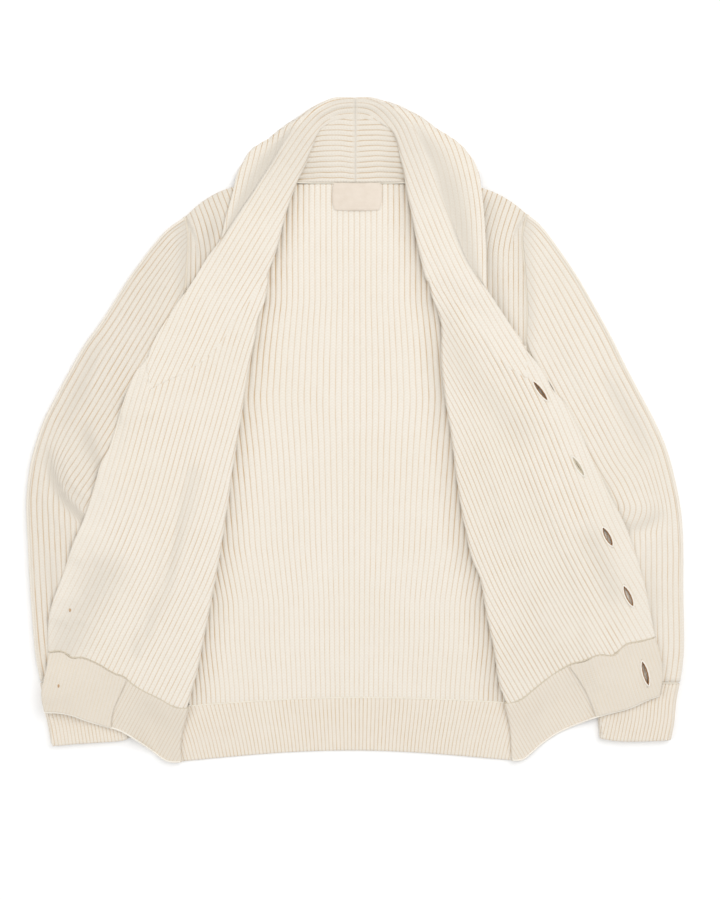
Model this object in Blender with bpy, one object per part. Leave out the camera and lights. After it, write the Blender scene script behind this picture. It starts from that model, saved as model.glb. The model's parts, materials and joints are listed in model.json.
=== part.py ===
# Shawl collar cardigan in heavy rib knit, lying open on its back with both fronts turned outwards.
# Each panel that is cut and sewn on is its own solid. Metres, +Z up, floor at z = 0, neck towards +Y.
# Tables hold millimetres: "out" is the distance from the centre back line, "up" runs towards the neck.

import math

import bmesh
import bpy
import numpy as np

MM = 0.001

# Cloth
CLOTH = 4.0  # thickness of the rib knit
FACING = 1.6  # thickness of the hem facing
LABEL = 0.8  # thickness of the woven label
GAP = 0.3  # clearance kept between pieces
FOLD_SEGMENTS = 4  # facets round a turned edge
SLEEVE_HOLLOW = 2.4  # clear height inside a flattened sleeve
SLEEVE_RING = 5  # cells across one face of a sleeve

# Height field that each piece is laid on
FIELD_HALF = 440.0
FIELD_CELL = 4.0

# Button
BUTTON_RADIUS = 11.5
BUTTON_THICK = 4.0
BUTTON_DISH_RADIUS = 7.5
BUTTON_DISH_DEPTH = 0.9
BUTTON_HOLE_RADIUS = 1.1
BUTTON_HOLE_OFFSET = 2.4

# Back panel: its two side edges from the shoulder to the hem seam.
# left_out, left_up, right_out, right_up
BACK_SIDES = (
    (204, 253, 206, 256),
    (200, 228, 200, 230),
    (202, 190, 203, 192),
    (206, 140, 206, 142),
    (219, 100, 218, 100),
    (240, 76, 238, 76),
    (238, 34, 235, 34),
    (232, -26, 226, -26),
    (223, -86, 215, -86),
    (213, -146, 203, -146),
    (207, -206, 191, -206),
    (203, -266, 183, -266),
    (200, -332, 180, -328),
)
NECK_UP = 294.0  # neckline seam at the centre back
NECK_SHARE = 0.6  # share of the half width from which the shoulder line drops
SHOULDER_POWER = 1.5
SHOULDER_FADE = 3  # rows over which the shoulder line straightens
FRONT_ROWS = 12  # cells up a front, from the hem seam to where the lapel seam meets the fold
NECK_ROWS = 4  # cells from there to the shoulder
UNDER_CELLS = 4  # cells across the right-side-up part of a front
UNDER_LEAST = 8.0  # its least width, at the hem
OVER_CELLS = 7  # cells across the turned-back part
ROOT = 5.0  # how far the fold's strip reaches into the lower ply
ROOT_INSET = 0.6  # how deep that strip lies in it
TOP_REACH = 24.0  # how far round a point of the top layer its support is looked for
UNDERARM_ROW = 5  # the row of BACK_SIDES at the underarm
SIDE_CELLS = FRONT_ROWS + NECK_ROWS - SLEEVE_RING  # cells down each side seam
HEM_SAG = 8.0  # how far the hem seam and the hem dip beside the centre
BACK_HEM_LEFT = (206, -399)  # left_out, left_up of the lower corner
BACK_HEM_RIGHT = (187, -398)

# Fronts: lines that bound them, from the hem seam upwards.
FOLDS = {  # the line along which each front turns outwards: (out, up)
    "left": ((200, -334), (186, -285), (167, -189), (150, -89), (135, 6), (118, 102), (102, 171),
             (93, 217), (83, 256), (71, 293)),
    "right": ((180, -328), (164, -261), (149, -182), (131, -123), (119, -54), (108, 20), (101, 82),
              (98, 130), (79, 200), (67, 259), (58, 293)),
}
EDGES = {  # free front edge, from the hem seam to the foot of the collar
    "left": ((367, -267), (366, -225), (350, -174), (320, -94), (303, -39), (283, 13), (272, 45),
             (263, 67), (247, 85)),
    "right": ((361, -253), (348, -194), (332, -141), (307, -84), (279, -28), (249, 32), (236, 46),
              (224, 69), (203, 97)),
}
LAPELS = {  # seam between front and collar, from the fold to the corner below the collar's foot
    "left": ((107, 178), (135, 141), (165, 98), (184, 80), (215, 62), (244, 46)),
    "right": ((88, 178), (118, 152), (140, 128), (166, 92), (186, 72), (206, 60)),
}
HEMS = {  # lower edge of the turned front hem, from the fold to the free edge
    "left": ((207, -399), (212, -400), (234, -393), (264, -371), (301, -356), (336, -344), (370, -339)),
    "right": ((187, -397), (206, -393), (240, -367), (275, -351), (304, -341), (348, -326), (363, -319)),
}
HEM_SEAMS = {  # seam between front and hem ribbing, from the fold to the free edge
    "left": ((200, -334), (215, -333), (252, -313), (288, -291), (325, -273), (367, -267)),
    "right": ((180, -328), (196, -324), (217, -309), (258, -281), (289, -270), (321, -258), (361, -253)),
}
FACING_SHARES = {"left": (0.54, 0.47), "right": (0.44, 0.52)}  # where the facing starts along seam and hem

# Collar halves: a row for each section from the centre back to the foot of the collar.
# seam_out, seam_up, ridge_out, ridge_up, roll_out, roll_up, free_out, free_up, stand, body, fall
# The last three are thicknesses of the stand, of the rolled body with its hidden layers, and of the fall.
COLLARS = {
    "left": (
        (0, 295, 0, 372, 0, 396, 0, 399, 6, 10, 6),
        (23, 295, 24, 370, 30, 389, 31, 393, 6, 10, 6),
        (46, 295, 43, 354, 60, 376, 64, 380, 6, 11, 6),
        (60, 295, 54, 327, 76, 353, 94, 355, 5, 11, 5),
        (68, 295, 63, 309, 94, 328, 119, 338, 4, 11, 4),
        (76, 294, 71, 297, 107, 304, 136, 318, 4, 10, 4),
        (83, 257, 88, 258, 124, 277, 148, 289, 8, 10, 4),
        (93, 217, 98, 219, 143, 251, 156, 250, 8, 9, 4),
        (103, 180, 109, 184, 166, 218, 170, 219, 7, 8, 6),
        (135, 142, 140, 146, 198, 170, 201, 172, 5, 7, 6),
        (165, 99, 169, 103, 224, 131, 227, 132, 4.5, 6, 5),
        (205, 69, 208, 73, 239, 102, 241, 104, 4, 5, 4.5),
        (241, 49, 241, 53, 244, 80, 244, 84, 4, 4, 4),
    ),
    "right": (
        (0, 295, 0, 372, 0, 396, 0, 399, 6, 10, 6),
        (20, 295, 21, 371, 34, 390, 36, 393, 6, 10, 6),
        (38, 295, 41, 357, 60, 380, 64, 383, 6, 11, 6),
        (49, 295, 51, 330, 80, 360, 92, 359, 5, 11, 5),
        (55, 295, 57, 311, 88, 332, 124, 341, 4, 11, 4),
        (63, 294, 61, 295, 93, 300, 140, 318, 4, 10, 4),
        (70, 257, 75, 258, 106, 262, 152, 273, 8, 10, 4),
        (77, 217, 84, 218, 124, 212, 155, 222, 8, 9, 4),
        (86, 180, 92, 184, 147, 176, 156, 178, 7, 8, 4),
        (112, 150, 118, 154, 168, 148, 171, 150, 5, 7, 6),
        (140, 122, 145, 127, 184, 124, 187, 126, 4.5, 6, 5),
        (172, 86, 175, 90, 197, 107, 200, 109, 4, 5, 4.5),
        (203, 63, 203, 68, 200, 92, 200, 96, 4, 4, 4),
    ),
}
NECK_SECTION = 8  # the row of COLLARS where the seam leaves the fold
COLLAR_SEAM = (1.0, 1.4)  # distance between the lapel edges of front and collar, out and up
COLLAR_FOOT = 2.5  # how far the lower corner of the collar keeps inside the front band
COLLAR_SPLIT = 0.4  # half the slit between the two collar halves at the centre back

# Sleeves: outer and inner edge of the flattened tube, from the armhole to the cuff seam.
# outer_out, outer_up, inner_out, inner_up
SLEEVES = {
    "left": (
        (207, 251, 243, 76), (225, 238, 244, 66), (257, 199, 245, 50), (303, 130, 246, 20),
        (343, 67, 248, -15), (373, 10, 250, -50), (389, -45, 251, -90), (393, -107, 252, -135),
        (389, -196, 258, -200), (384, -266, 268, -262), (377, -302, 274, -302),
    ),
    "right": (
        (209, 254, 241, 76), (223, 242, 243, 66), (265, 183, 244, 50), (305, 112, 246, 20),
        (343, 39, 248, -20), (372, -23, 252, -60), (386, -75, 255, -95), (391, -120, 256, -140),
        (392, -194, 268, -205), (393, -255, 282, -262), (389, -302, 290, -302),
    ),
}
ARMHOLE_SEAM = 1.3  # distance between the armhole edges of the body and the sleeve
ARMHOLE_FADE = 4  # rows over which the sleeve's paths straighten
CUFFS = {
    "left": ((375, -303, 274, -303), (371, -340, 272, -345), (365, -377, 272, -373)),
    "right": ((386, -303, 291, -303), (383, -340, 291, -340), (378, -373, 294, -373)),
}

# Buttons on the outer face of the viewer's left front: out, up
BUTTONS = ((261, 28), (292, -62), (321, -143), (340, -216), (353, -306))

# Buttonholes along the viewer's right front: out, up, length, lean from the vertical in degrees
BUTTONHOLES = (
    (221, 45, 29, 37),
    (266, -45, 27, 32),
    (301, -129, 25, 28),
    (326, -200, 25, 25),
    (346, -292, 27, 15),
)
SLIT_WIDTH = 3.4  # opening of a buttonhole at its middle
SLIT_SEGMENTS = 4  # facets along each lip

LABEL_HALF = (28.0, 15.0)
LABEL_CENTRE = (2.0, 279.0)

# Soft swells of the fronts: out, up, half length, half width, height
SWELLS = (
    (250, -150, 170, 30, 2.5),
    (200, -60, 150, 26, 2.0),
)

COLORS = {
    "wool": (0.86, 0.78, 0.62, 1.0),
    "ribbing": (0.82, 0.74, 0.58, 1.0),
    "satin": (0.88, 0.82, 0.72, 1.0),
    "horn": (0.35, 0.24, 0.15, 1.0),
}


def clear_scene():
    for obj in list(bpy.data.objects):
        bpy.data.objects.remove(obj, do_unlink=True)


def material(name, color, roughness):
    made = bpy.data.materials.new(name)
    made.use_nodes = True
    shader = made.node_tree.nodes["Principled BSDF"]
    shader.inputs["Base Color"].default_value = color
    shader.inputs["Roughness"].default_value = roughness
    shader.inputs["Metallic"].default_value = 0.0
    return made


def through(points, count, start=0.0, end=1.0):
    """Evenly spaced points on a smooth curve through the given ones, between two shares of its length."""
    points = np.asarray(points, float)
    padded = np.vstack([2 * points[0] - points[1], points, 2 * points[-1] - points[-2]])
    dense = []
    for before, here, there, after in zip(padded, padded[1:], padded[2:], padded[3:]):
        for t in np.linspace(0, 1, 12, endpoint=False):
            dense.append(0.5 * (2 * here + (there - before) * t
                                + (2 * before - 5 * here + 4 * there - after) * t**2
                                + (3 * here - before - 3 * there + after) * t**3))
    dense = np.vstack([dense, points[-1:]])
    lengths = np.concatenate([[0], np.cumsum(np.linalg.norm(np.diff(dense, axis=0), axis=1))])
    wanted = np.linspace(start, end, count) * lengths[-1]
    return np.column_stack([np.interp(wanted, lengths, column) for column in dense.T])


def rows_through(table, count):
    """A table's rows carried on smoothly to the wanted number of rows, by row number."""
    table = np.asarray(table, float)
    steps = np.linspace(0, len(table) - 1, count)
    padded = np.vstack([2 * table[0] - table[1], table, 2 * table[-1] - table[-2]])
    made = []
    for step in steps:
        row = min(int(step), len(table) - 2)
        t = step - row
        before, here, there, after = padded[row:row + 4]
        made.append(0.5 * (2 * here + (there - before) * t
                           + (2 * before - 5 * here + 4 * there - after) * t**2
                           + (3 * here - before - 3 * there + after) * t**3))
    return np.array(made)


class Field:
    """Height of what has been laid down so far, on a square grid of cells."""

    def __init__(self):
        self.count = int(2 * FIELD_HALF / FIELD_CELL)
        self.height = np.zeros((self.count, self.count))

    def cells(self, plan):
        index = ((np.asarray(plan) + FIELD_HALF) / FIELD_CELL).astype(int)
        return np.clip(index, 0, self.count - 1)

    def spread(self, reach):
        """The highest height within reach of each cell."""
        steps = int(math.ceil(reach / FIELD_CELL))
        high = self.height
        for axis in (0, 1):
            moved = high
            for step in range(1, steps + 1):
                moved = np.maximum(moved, np.roll(high, step, axis))
                moved = np.maximum(moved, np.roll(high, -step, axis))
            high = moved
        return high

    def under(self, plan, reach):
        index = self.cells(plan)
        return self.spread(reach)[index[..., 0], index[..., 1]]

    def cover(self, surface):
        """Raises the field to a surface given as a grid of points."""
        rows, columns = surface.shape[:2]
        for row in range(rows - 1):
            for column in range(columns - 1):
                a, b = surface[row, column], surface[row, column + 1]
                c, d = surface[row + 1, column], surface[row + 1, column + 1]
                side = max(np.linalg.norm((b - a)[:2]), np.linalg.norm((c - a)[:2]),
                           np.linalg.norm((d - c)[:2]), np.linalg.norm((d - b)[:2]))
                steps = np.linspace(0, 1, int(side / FIELD_CELL * 1.5) + 2)
                s, t = np.meshgrid(steps, steps)
                s, t = s[..., None], t[..., None]
                points = (a * (1 - s) + b * s) * (1 - t) + (c * (1 - s) + d * s) * t
                index = self.cells(points[..., :2])
                np.maximum.at(self.height, (index[..., 0], index[..., 1]), points[..., 2])


def settled(low, passes):
    """Heights eased over their neighbours without dropping below what carries them."""
    eased = low.copy()
    for _ in range(passes):
        padded = np.pad(eased, 1, mode="edge")
        mean = (padded[:-2, 1:-1] + padded[2:, 1:-1] + padded[1:-1, :-2] + padded[1:-1, 2:]) / 4
        eased = np.maximum(low, 0.5 * (eased + mean))
    return eased


def laid(field, plan, reach, passes=2):
    """Underside heights of a ply laid on the field."""
    low = field.under(plan, reach)
    return settled(np.where(low > 0, low + GAP, 0.0), passes)


def with_height(plan, height):
    return np.dstack([plan, height])


def mesh_object(name, bm, slot, smooth_angle=35):
    bmesh.ops.recalc_face_normals(bm, faces=bm.faces)
    mesh = bpy.data.meshes.new(name)
    bm.to_mesh(mesh)
    bm.free()
    if mesh.polygons:
        mesh.shade_smooth()
        mesh.set_sharp_from_angle(angle=math.radians(smooth_angle))
    mesh.materials.append(slot)
    obj = bpy.data.objects.new(name, mesh)
    bpy.context.scene.collection.objects.link(obj)
    return obj


def solid_between(name, top, bottom, slot):
    """A closed solid between two grids of points with the same rows and columns."""
    rows, columns = top.shape[:2]
    bm = bmesh.new()
    upper = [[bm.verts.new(point * MM) for point in row] for row in top]
    lower = [[bm.verts.new(point * MM) for point in row] for row in bottom]
    for r in range(rows - 1):
        for c in range(columns - 1):
            bm.faces.new((upper[r][c], upper[r][c + 1], upper[r + 1][c + 1], upper[r + 1][c]))
            bm.faces.new((lower[r][c], lower[r + 1][c], lower[r + 1][c + 1], lower[r][c + 1]))
    for r in range(rows - 1):
        for c in (0, columns - 1):
            bm.faces.new((upper[r][c], upper[r + 1][c], lower[r + 1][c], lower[r][c]))
    for c in range(columns - 1):
        for r in (0, rows - 1):
            bm.faces.new((upper[r][c], upper[r][c + 1], lower[r][c + 1], lower[r][c]))
    return mesh_object(name, bm, slot)


def ply(name, field, plan, thickness, slot, reach, passes=2):
    """A single layer of cloth laid on what is under it."""
    low = laid(field, plan, reach, passes)
    bottom, top = with_height(plan, low), with_height(plan, low + thickness)
    field.cover(top)
    solid_between(name, top, bottom, slot)
    return top


def side_points(table, count, sign, first):
    """Plan points from a table's pair of columns, mirrored to the wanted side."""
    rows = rows_through(table, count)
    return np.column_stack([sign * rows[:, first], rows[:, first + 1]])


def between(left, right, count):
    """Points spread between matching points of two lines."""
    shares = np.linspace(0, 1, count)[None, :, None]
    return left[:, None, :] * (1 - shares) + right[:, None, :] * shares


def hem_seam_line(count):
    """The seam between the back and its ribbing, dipping a little towards both sides."""
    left, right = BACK_SIDES[-1][:2], BACK_SIDES[-1][2:]
    shares = np.linspace(0, 1, count)
    x = -left[0] * (1 - shares) + right[0] * shares
    y = left[1] * (1 - shares) + right[1] * shares
    return np.column_stack([x, y + HEM_SAG * np.sin(math.pi * shares)])


def body_side(side, sign):
    """Points down a side edge of the body: the armhole, then the side seam."""
    column = 0 if side == "left" else 2
    edge = np.array(BACK_SIDES, float)[:, column:column + 2]
    dense = through(edge, 600)
    underarm = int(np.argmin(np.linalg.norm(dense - edge[UNDERARM_ROW], axis=1)))
    picks = np.concatenate([np.linspace(0, underarm, SLEEVE_RING + 1),
                            np.linspace(underarm, len(dense) - 1, SIDE_CELLS + 1)[1:]])
    return mirrored(dense[picks.round().astype(int)], sign)


def make_back(field, slots, columns=14):
    plan = between(body_side("left", -1), body_side("right", 1), columns)
    across = np.abs(np.linspace(-1, 1, columns))
    drop = np.clip((across - NECK_SHARE) / (1 - NECK_SHARE), 0, 1) ** SHOULDER_POWER
    for row in range(SHOULDER_FADE):
        lift = (NECK_UP - plan[row, :, 1]) * (1 - drop) * (1 - row / SHOULDER_FADE) ** 2
        plan[row, :, 1] += lift
    plan[-1] = hem_seam_line(columns)
    ply("back", field, plan, CLOTH, slots["wool"], FIELD_CELL)

    low = np.array([[-BACK_HEM_LEFT[0], BACK_HEM_LEFT[1]], [BACK_HEM_RIGHT[0], BACK_HEM_RIGHT[1]]], float)
    shares = np.linspace(0, 1, columns)[:, None]
    hem = low[0] * (1 - shares) + low[1] * shares
    hem[:, 1:] += 1.6 * HEM_SAG * np.sin(math.pi * shares)
    seam = hem_seam_line(columns) - [0, GAP]
    plan = between(seam, hem, 4).reshape(columns, 4, 2)
    top = with_height(plan, np.full(plan.shape[:2], CLOTH))
    field.cover(top)
    solid_between("back_hem", top, with_height(plan, np.zeros(plan.shape[:2])), slots["ribbing"])


def tube_section(path, height, wall):
    """A flattened ring round a path from the tube's outer edge to its inner edge, and back underneath."""
    half = height / 2
    radius = half - wall
    starts, ends = path[0] - path[1], path[-1] - path[-2]
    starts, ends = starts / np.linalg.norm(starts), ends / np.linalg.norm(ends)
    core = path.copy()
    core[0], core[-1] = path[0] - starts * half, path[-1] - ends * half
    points = [(*p, half + radius) for p in core]
    for turn in (45, 90, 135):
        angle = math.radians(turn)
        points.append((*(core[-1] + ends * radius * math.sin(angle)), half + radius * math.cos(angle)))
    points += [(*p, half - radius) for p in core[::-1]]
    for turn in (135, 90, 45):
        angle = math.radians(turn)
        points.append((*(core[0] + starts * radius * math.sin(angle)), half + radius * math.cos(angle)))
    return points


def tube(name, paths, field, slot):
    """A flattened sleeve or cuff lying on the floor, open at both ends."""
    height = 2 * CLOTH + SLEEVE_HOLLOW
    bm = bmesh.new()
    rings = []
    for path in paths:
        rings.append([[bm.verts.new(np.array(p) * MM) for p in tube_section(path, height, wall)]
                      for wall in (0.0, CLOTH)])
    count = len(rings[0][0])
    for (out_a, in_a), (out_b, in_b) in zip(rings, rings[1:]):
        for k in range(count):
            n = (k + 1) % count
            bm.faces.new((out_a[k], out_a[n], out_b[n], out_b[k]))
            bm.faces.new((in_a[k], in_b[k], in_b[n], in_a[n]))
    for outside, inside in (rings[0], rings[-1]):
        for k in range(count):
            n = (k + 1) % count
            bm.faces.new((outside[k], outside[n], inside[n], inside[k]))
    mesh_object(name, bm, slot)
    field.cover(with_height(paths, np.full(paths.shape[:2], height)))


def sleeve_paths(side, sign, rows):
    """Paths across the sleeve: the first follows the armhole, the next ones straighten out."""
    outer = side_points(SLEEVES[side], rows, sign, 0)
    inner = side_points(SLEEVES[side], rows, sign, 2)
    paths = between(outer, inner, SLEEVE_RING + 1)
    armhole = body_side(side, sign)[:SLEEVE_RING + 1] + [sign * ARMHOLE_SEAM, ARMHOLE_SEAM]
    bow = armhole - paths[0]
    for row in range(ARMHOLE_FADE):
        paths[row] += bow * (1 - row / ARMHOLE_FADE) ** 1.5
    return paths


def make_sleeves(field, slots):
    for side, sign in (("left", -1), ("right", 1)):
        tube("sleeve_" + side, sleeve_paths(side, sign, 14), field, slots["wool"])
        outer, inner = side_points(CUFFS[side], 3, sign, 0), side_points(CUFFS[side], 3, sign, 2)
        tube("cuff_" + side, between(outer, inner, SLEEVE_RING + 1), field, slots["ribbing"])


def mirrored(points, sign):
    return np.asarray(points, float) * [sign, 1]


def patch(bottom, top, left, right):
    """Points spread over four joined curves: rows run from bottom to top, columns from left to right."""
    across = np.linspace(0, 1, len(bottom))[None, :, None]
    up = np.linspace(0, 1, len(left))[:, None, None]
    sides = left[:, None] * (1 - across) + right[:, None] * across
    ends = bottom[None] * (1 - up) + top[None] * up
    corners = ((bottom[0] * (1 - across) + bottom[-1] * across) * (1 - up)
               + (top[0] * (1 - across) + top[-1] * across) * up)
    return sides + ends - corners


def fold_line(side, sign, start_up, end_up, count):
    """Points up the fold of a front, between two heights."""
    fold = through(FOLDS[side], 400)
    up = np.linspace(start_up, end_up, count)
    return mirrored(np.column_stack([np.interp(up, fold[:, 1], fold[:, 0]), up]), sign)


def under_plan(side, sign):
    """Plan of the part of a front that lies right side up: from its outer side to the fold."""
    low, high = FOLDS[side][0][1], FOLDS[side][-1][1]
    split = LAPELS[side][0][1]
    folds = np.vstack([fold_line(side, sign, low, split, FRONT_ROWS + 1),
                       fold_line(side, sign, split, high, NECK_ROWS + 1)[1:]])
    sides = body_side(side, sign)[::-1]
    sides[:, 0] = sign * (np.maximum(np.abs(sides[:, 0]), np.abs(folds[:, 0]) + UNDER_LEAST) - GAP)
    plan = between(sides, folds, UNDER_CELLS + 1)
    across = np.abs(plan[-1, :, 0]) / abs(plan[-1, 0, 0])
    drop = np.clip((across - NECK_SHARE) / (1 - NECK_SHARE), 0, 1) ** SHOULDER_POWER
    for back in range(SHOULDER_FADE):
        lift = (NECK_UP - 1 - plan[-1 - back, :, 1]) * (1 - drop) * (1 - back / SHOULDER_FADE) ** 2
        plan[-1 - back, :, 1] += lift
    return plan


def over_plan(side, sign):
    """Plan of the turned-back part of a front: from the fold to the free edge, hem seam to lapel seam."""
    folds = fold_line(side, sign, FOLDS[side][0][1], LAPELS[side][0][1], FRONT_ROWS + 1)
    edge = mirrored(through(EDGES[side], FRONT_ROWS + 1), sign)
    seam = mirrored(through(HEM_SEAMS[side], OVER_CELLS + 1), sign)
    lapel = mirrored(through(LAPELS[side], OVER_CELLS), sign)
    return patch(seam, np.vstack([lapel, edge[-1:]]), folds, edge)


def swell(plan, sign):
    total = np.zeros(plan.shape[:-1])
    for out, up, half_length, half_width, height in SWELLS:
        along = (plan[..., 1] - up) / half_length
        across = (plan[..., 0] * sign - out - 0.36 * (plan[..., 1] - up)) / half_width
        total += height * np.exp(-along**2 - across**2)
    return total


def make_unders(field):
    """Lays the right-side-up parts of both fronts and returns their grids of underside points."""
    made = {}
    for side, sign in (("left", -1), ("right", 1)):
        plan = under_plan(side, sign)
        made[side] = with_height(plan, laid(field, plan, 3 * FIELD_CELL))
    for low in made.values():
        field.cover(low + [0, 0, CLOTH])
    return made


def turned_ply(name, under_low, over, over_low, slot):
    """The turned-back ply, joined by its rolled fold to the strip of the lower ply beside the fold."""
    outer, inner = [], []
    for r in range(len(over)):
        beside, edge = under_low[r, -2], under_low[r, -1]
        turn = (edge - beside)[:2] / np.linalg.norm((edge - beside)[:2])
        lid = over_low[r, 0] + CLOTH
        centre, radius = (edge[2] + lid) / 2, (lid - edge[2]) / 2
        inside = max(radius - CLOTH, 0.15)
        root = edge[:2] - turn * ROOT
        out_row = [(*root, edge[2] + ROOT_INSET), (*edge[:2], edge[2] + ROOT_INSET)]
        in_row = [(*root, edge[2] + CLOTH - ROOT_INSET), (*edge[:2], edge[2] + CLOTH - ROOT_INSET)]
        for step in range(1, FOLD_SEGMENTS):
            angle = math.pi * step / FOLD_SEGMENTS
            out_row.append((*(edge[:2] + turn * radius * math.sin(angle)), centre - radius * math.cos(angle)))
            in_row.append((*(edge[:2] + turn * inside * math.sin(angle)), centre - inside * math.cos(angle)))
        out_row += [(*p, z + CLOTH) for p, z in zip(over[r], over_low[r])]
        in_row += [(*p, z) for p, z in zip(over[r], over_low[r])]
        outer.append(out_row)
        inner.append(in_row)
    return solid_between(name, np.array(outer), np.array(inner), slot)


def make_fronts(field, slots, unders):
    for side, sign in (("left", -1), ("right", 1)):
        low = unders[side]
        front = solid_between("front_" + side, low + [0, 0, CLOTH], low, slots["wool"])
        over = over_plan(side, sign)
        over_low = laid(field, over, TOP_REACH, 3) + swell(over, sign)
        turned = turned_ply("turned_" + side, low, over, over_low, slots["wool"])
        turned.hide_render = True
        turned.display_type = "WIRE"
        joined = front.modifiers.new("turned part", "BOOLEAN")
        joined.operation = "UNION"
        joined.object = turned


def make_front_hems(field, slots):
    columns = OVER_CELLS + 1
    for side, sign in (("left", -1), ("right", 1)):
        seam = mirrored(through(HEM_SEAMS[side], columns), sign) - [0, 1.0]
        hem = mirrored(through(HEMS[side], columns), sign)
        plan = between(seam, hem, 4)
        top = ply("front_hem_" + side, field, plan, CLOTH, slots["ribbing"], TOP_REACH, 3)

        # The facing lies on the outer part of the ribbing, made from the ribbing's own points.
        start = int(round(FACING_SHARES[side][0] * (columns - 1)))
        base = top[start:].copy()
        base[..., 2] += GAP
        lid = base + [0, 0, FACING]
        field.cover(lid)
        solid_between("hem_facing_" + side, lid, base, slots["ribbing"])


def make_buttons(field, slots):
    for number, (out, up) in enumerate(BUTTONS, 1):
        name = "button_%d" % number
        centre = np.array([-out, up])
        ring = [centre + BUTTON_RADIUS * np.array([math.cos(a), math.sin(a)])
                for a in np.linspace(0, 2 * math.pi, 16, endpoint=False)]
        base = field.under(np.array(ring + [centre]), 2 * FIELD_CELL).max() + GAP
        bm = bmesh.new()
        bmesh.ops.create_cone(bm, cap_ends=True, segments=20, radius1=BUTTON_RADIUS * MM,
                              radius2=BUTTON_RADIUS * MM, depth=BUTTON_THICK * MM)
        rim = [e for e in bm.edges if abs(e.verts[0].co.z - e.verts[1].co.z) < MM * 0.01]
        bmesh.ops.bevel(bm, geom=rim, offset=0.8 * MM, offset_type="OFFSET", segments=1, profile=0.5,
                        affect="EDGES", clamp_overlap=True, material=-1)
        obj = mesh_object(name, bm, slots["horn"])
        obj.location = (centre[0] * MM, centre[1] * MM, (base + BUTTON_THICK / 2) * MM)
        cut_button(obj)
        square = np.array([[centre + [x, y] for x in (-BUTTON_RADIUS, BUTTON_RADIUS)]
                           for y in (-BUTTON_RADIUS, BUTTON_RADIUS)])
        field.cover(with_height(square, np.full((2, 2), base + BUTTON_THICK)))


def cut_button(obj):
    """The dished face, which is turned down, and the four thread holes."""
    bm = bmesh.new()
    cut = bmesh.ops.create_cone(bm, cap_ends=True, segments=16, radius1=BUTTON_DISH_RADIUS * MM,
                                radius2=(BUTTON_DISH_RADIUS - 0.6) * MM, depth=2 * BUTTON_DISH_DEPTH * MM)
    bmesh.ops.translate(bm, verts=cut["verts"], vec=(0, 0, -BUTTON_THICK / 2 * MM))
    for x in (-1, 1):
        for y in (-1, 1):
            hole = bmesh.ops.create_cone(bm, cap_ends=True, segments=8, radius1=BUTTON_HOLE_RADIUS * MM,
                                         radius2=BUTTON_HOLE_RADIUS * MM, depth=3 * BUTTON_THICK * MM)
            offset = BUTTON_HOLE_OFFSET * MM
            bmesh.ops.translate(bm, verts=hole["verts"], vec=(x * offset, y * offset, 0))
    cutter = mesh_object(obj.name + "_cutter", bm, obj.data.materials[0])
    cutter.location = obj.location
    cutter.hide_render = True
    cutter.display_type = "WIRE"
    boolean = obj.modifiers.new("holes", "BOOLEAN")
    boolean.object = cutter
    boolean.operation = "DIFFERENCE"
    boolean.use_self = True


def collar_rows(side):
    """Rows of the collar's table, with as many in its lower part as the lapel seam has points."""
    table = np.array(COLLARS[side], float)
    places = np.concatenate([np.linspace(0, NECK_SECTION, 2 * NECK_SECTION + 1),
                             np.linspace(NECK_SECTION, len(table) - 1, OVER_CELLS)[1:]])
    fine = rows_through(table, 20 * (len(table) - 1) + 1)
    rows = np.column_stack([np.interp(places * 20, np.arange(len(fine)), column) for column in fine.T])
    rows[-OVER_CELLS:, 0:2] = through(LAPELS[side], OVER_CELLS) + COLLAR_SEAM
    rows[-1, 0] -= COLLAR_FOOT
    return rows


def make_collar(field, slots):
    stand_cells, body_cells, fall_cells = 3, 4, 2
    for side, sign in (("left", -1), ("right", 1)):
        rows = collar_rows(side)
        lines = [mirrored(rows[:, k:k + 2], sign) for k in (0, 2, 4, 6)]
        for line in lines:
            line[0, 0] = sign * COLLAR_SPLIT
        seam, ridge, roll, free = lines
        plan = np.concatenate([between(seam, ridge, stand_cells + 1),
                               between(ridge, roll, body_cells + 1)[:, 1:],
                               between(roll, free, fall_cells + 1)[:, 1:]], axis=1)
        stand, body, fall = rows[:, 8], rows[:, 9], rows[:, 10]
        thick = np.zeros(plan.shape[:2])
        thick[:, :stand_cells] = stand[:, None]
        thick[:, 0] = np.minimum(stand, CLOTH)
        thick[:, stand_cells] = 0.75 * body
        thick[:, stand_cells + 1:stand_cells + body_cells] = body[:, None]
        thick[:, stand_cells + body_cells] = 0.8 * body
        thick[:, stand_cells + body_cells + 1:] = fall[:, None]
        low = laid(field, plan, TOP_REACH, 3)
        top = with_height(plan, low + thick)
        solid_between("collar_" + side, top, with_height(plan, low), slots["wool"])


def buttonhole_cutter(name, out, up, length, lean):
    """A spindle-shaped prism that opens a buttonhole through the band."""
    angle = math.radians(lean)
    along = np.array([math.sin(angle), -math.cos(angle)])
    across = np.array([-along[1], along[0]])
    shares = np.linspace(-1, 1, SLIT_SEGMENTS + 1)
    lips = [[np.array([out, up]) + along * share * length / 2 + across * way * (1 - share**2) * SLIT_WIDTH / 2
             for share in (shares if way > 0 else shares[::-1])] for way in (1, -1)]
    outline = lips[0][:-1] + lips[1][:-1]
    bm = bmesh.new()
    base = bm.faces.new([bm.verts.new((*(p * MM), 0)) for p in outline])
    grown = bmesh.ops.extrude_face_region(bm, geom=[base])
    bmesh.ops.translate(bm, vec=(0, 0, 60 * MM), verts=[v for v in grown["geom"] if isinstance(v, bmesh.types.BMVert)])
    bmesh.ops.translate(bm, vec=(0, 0, -5 * MM), verts=bm.verts)
    cutter = mesh_object(name, bm, bpy.data.materials["wool"])
    cutter.hide_render = True
    cutter.display_type = "WIRE"
    return cutter


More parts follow.
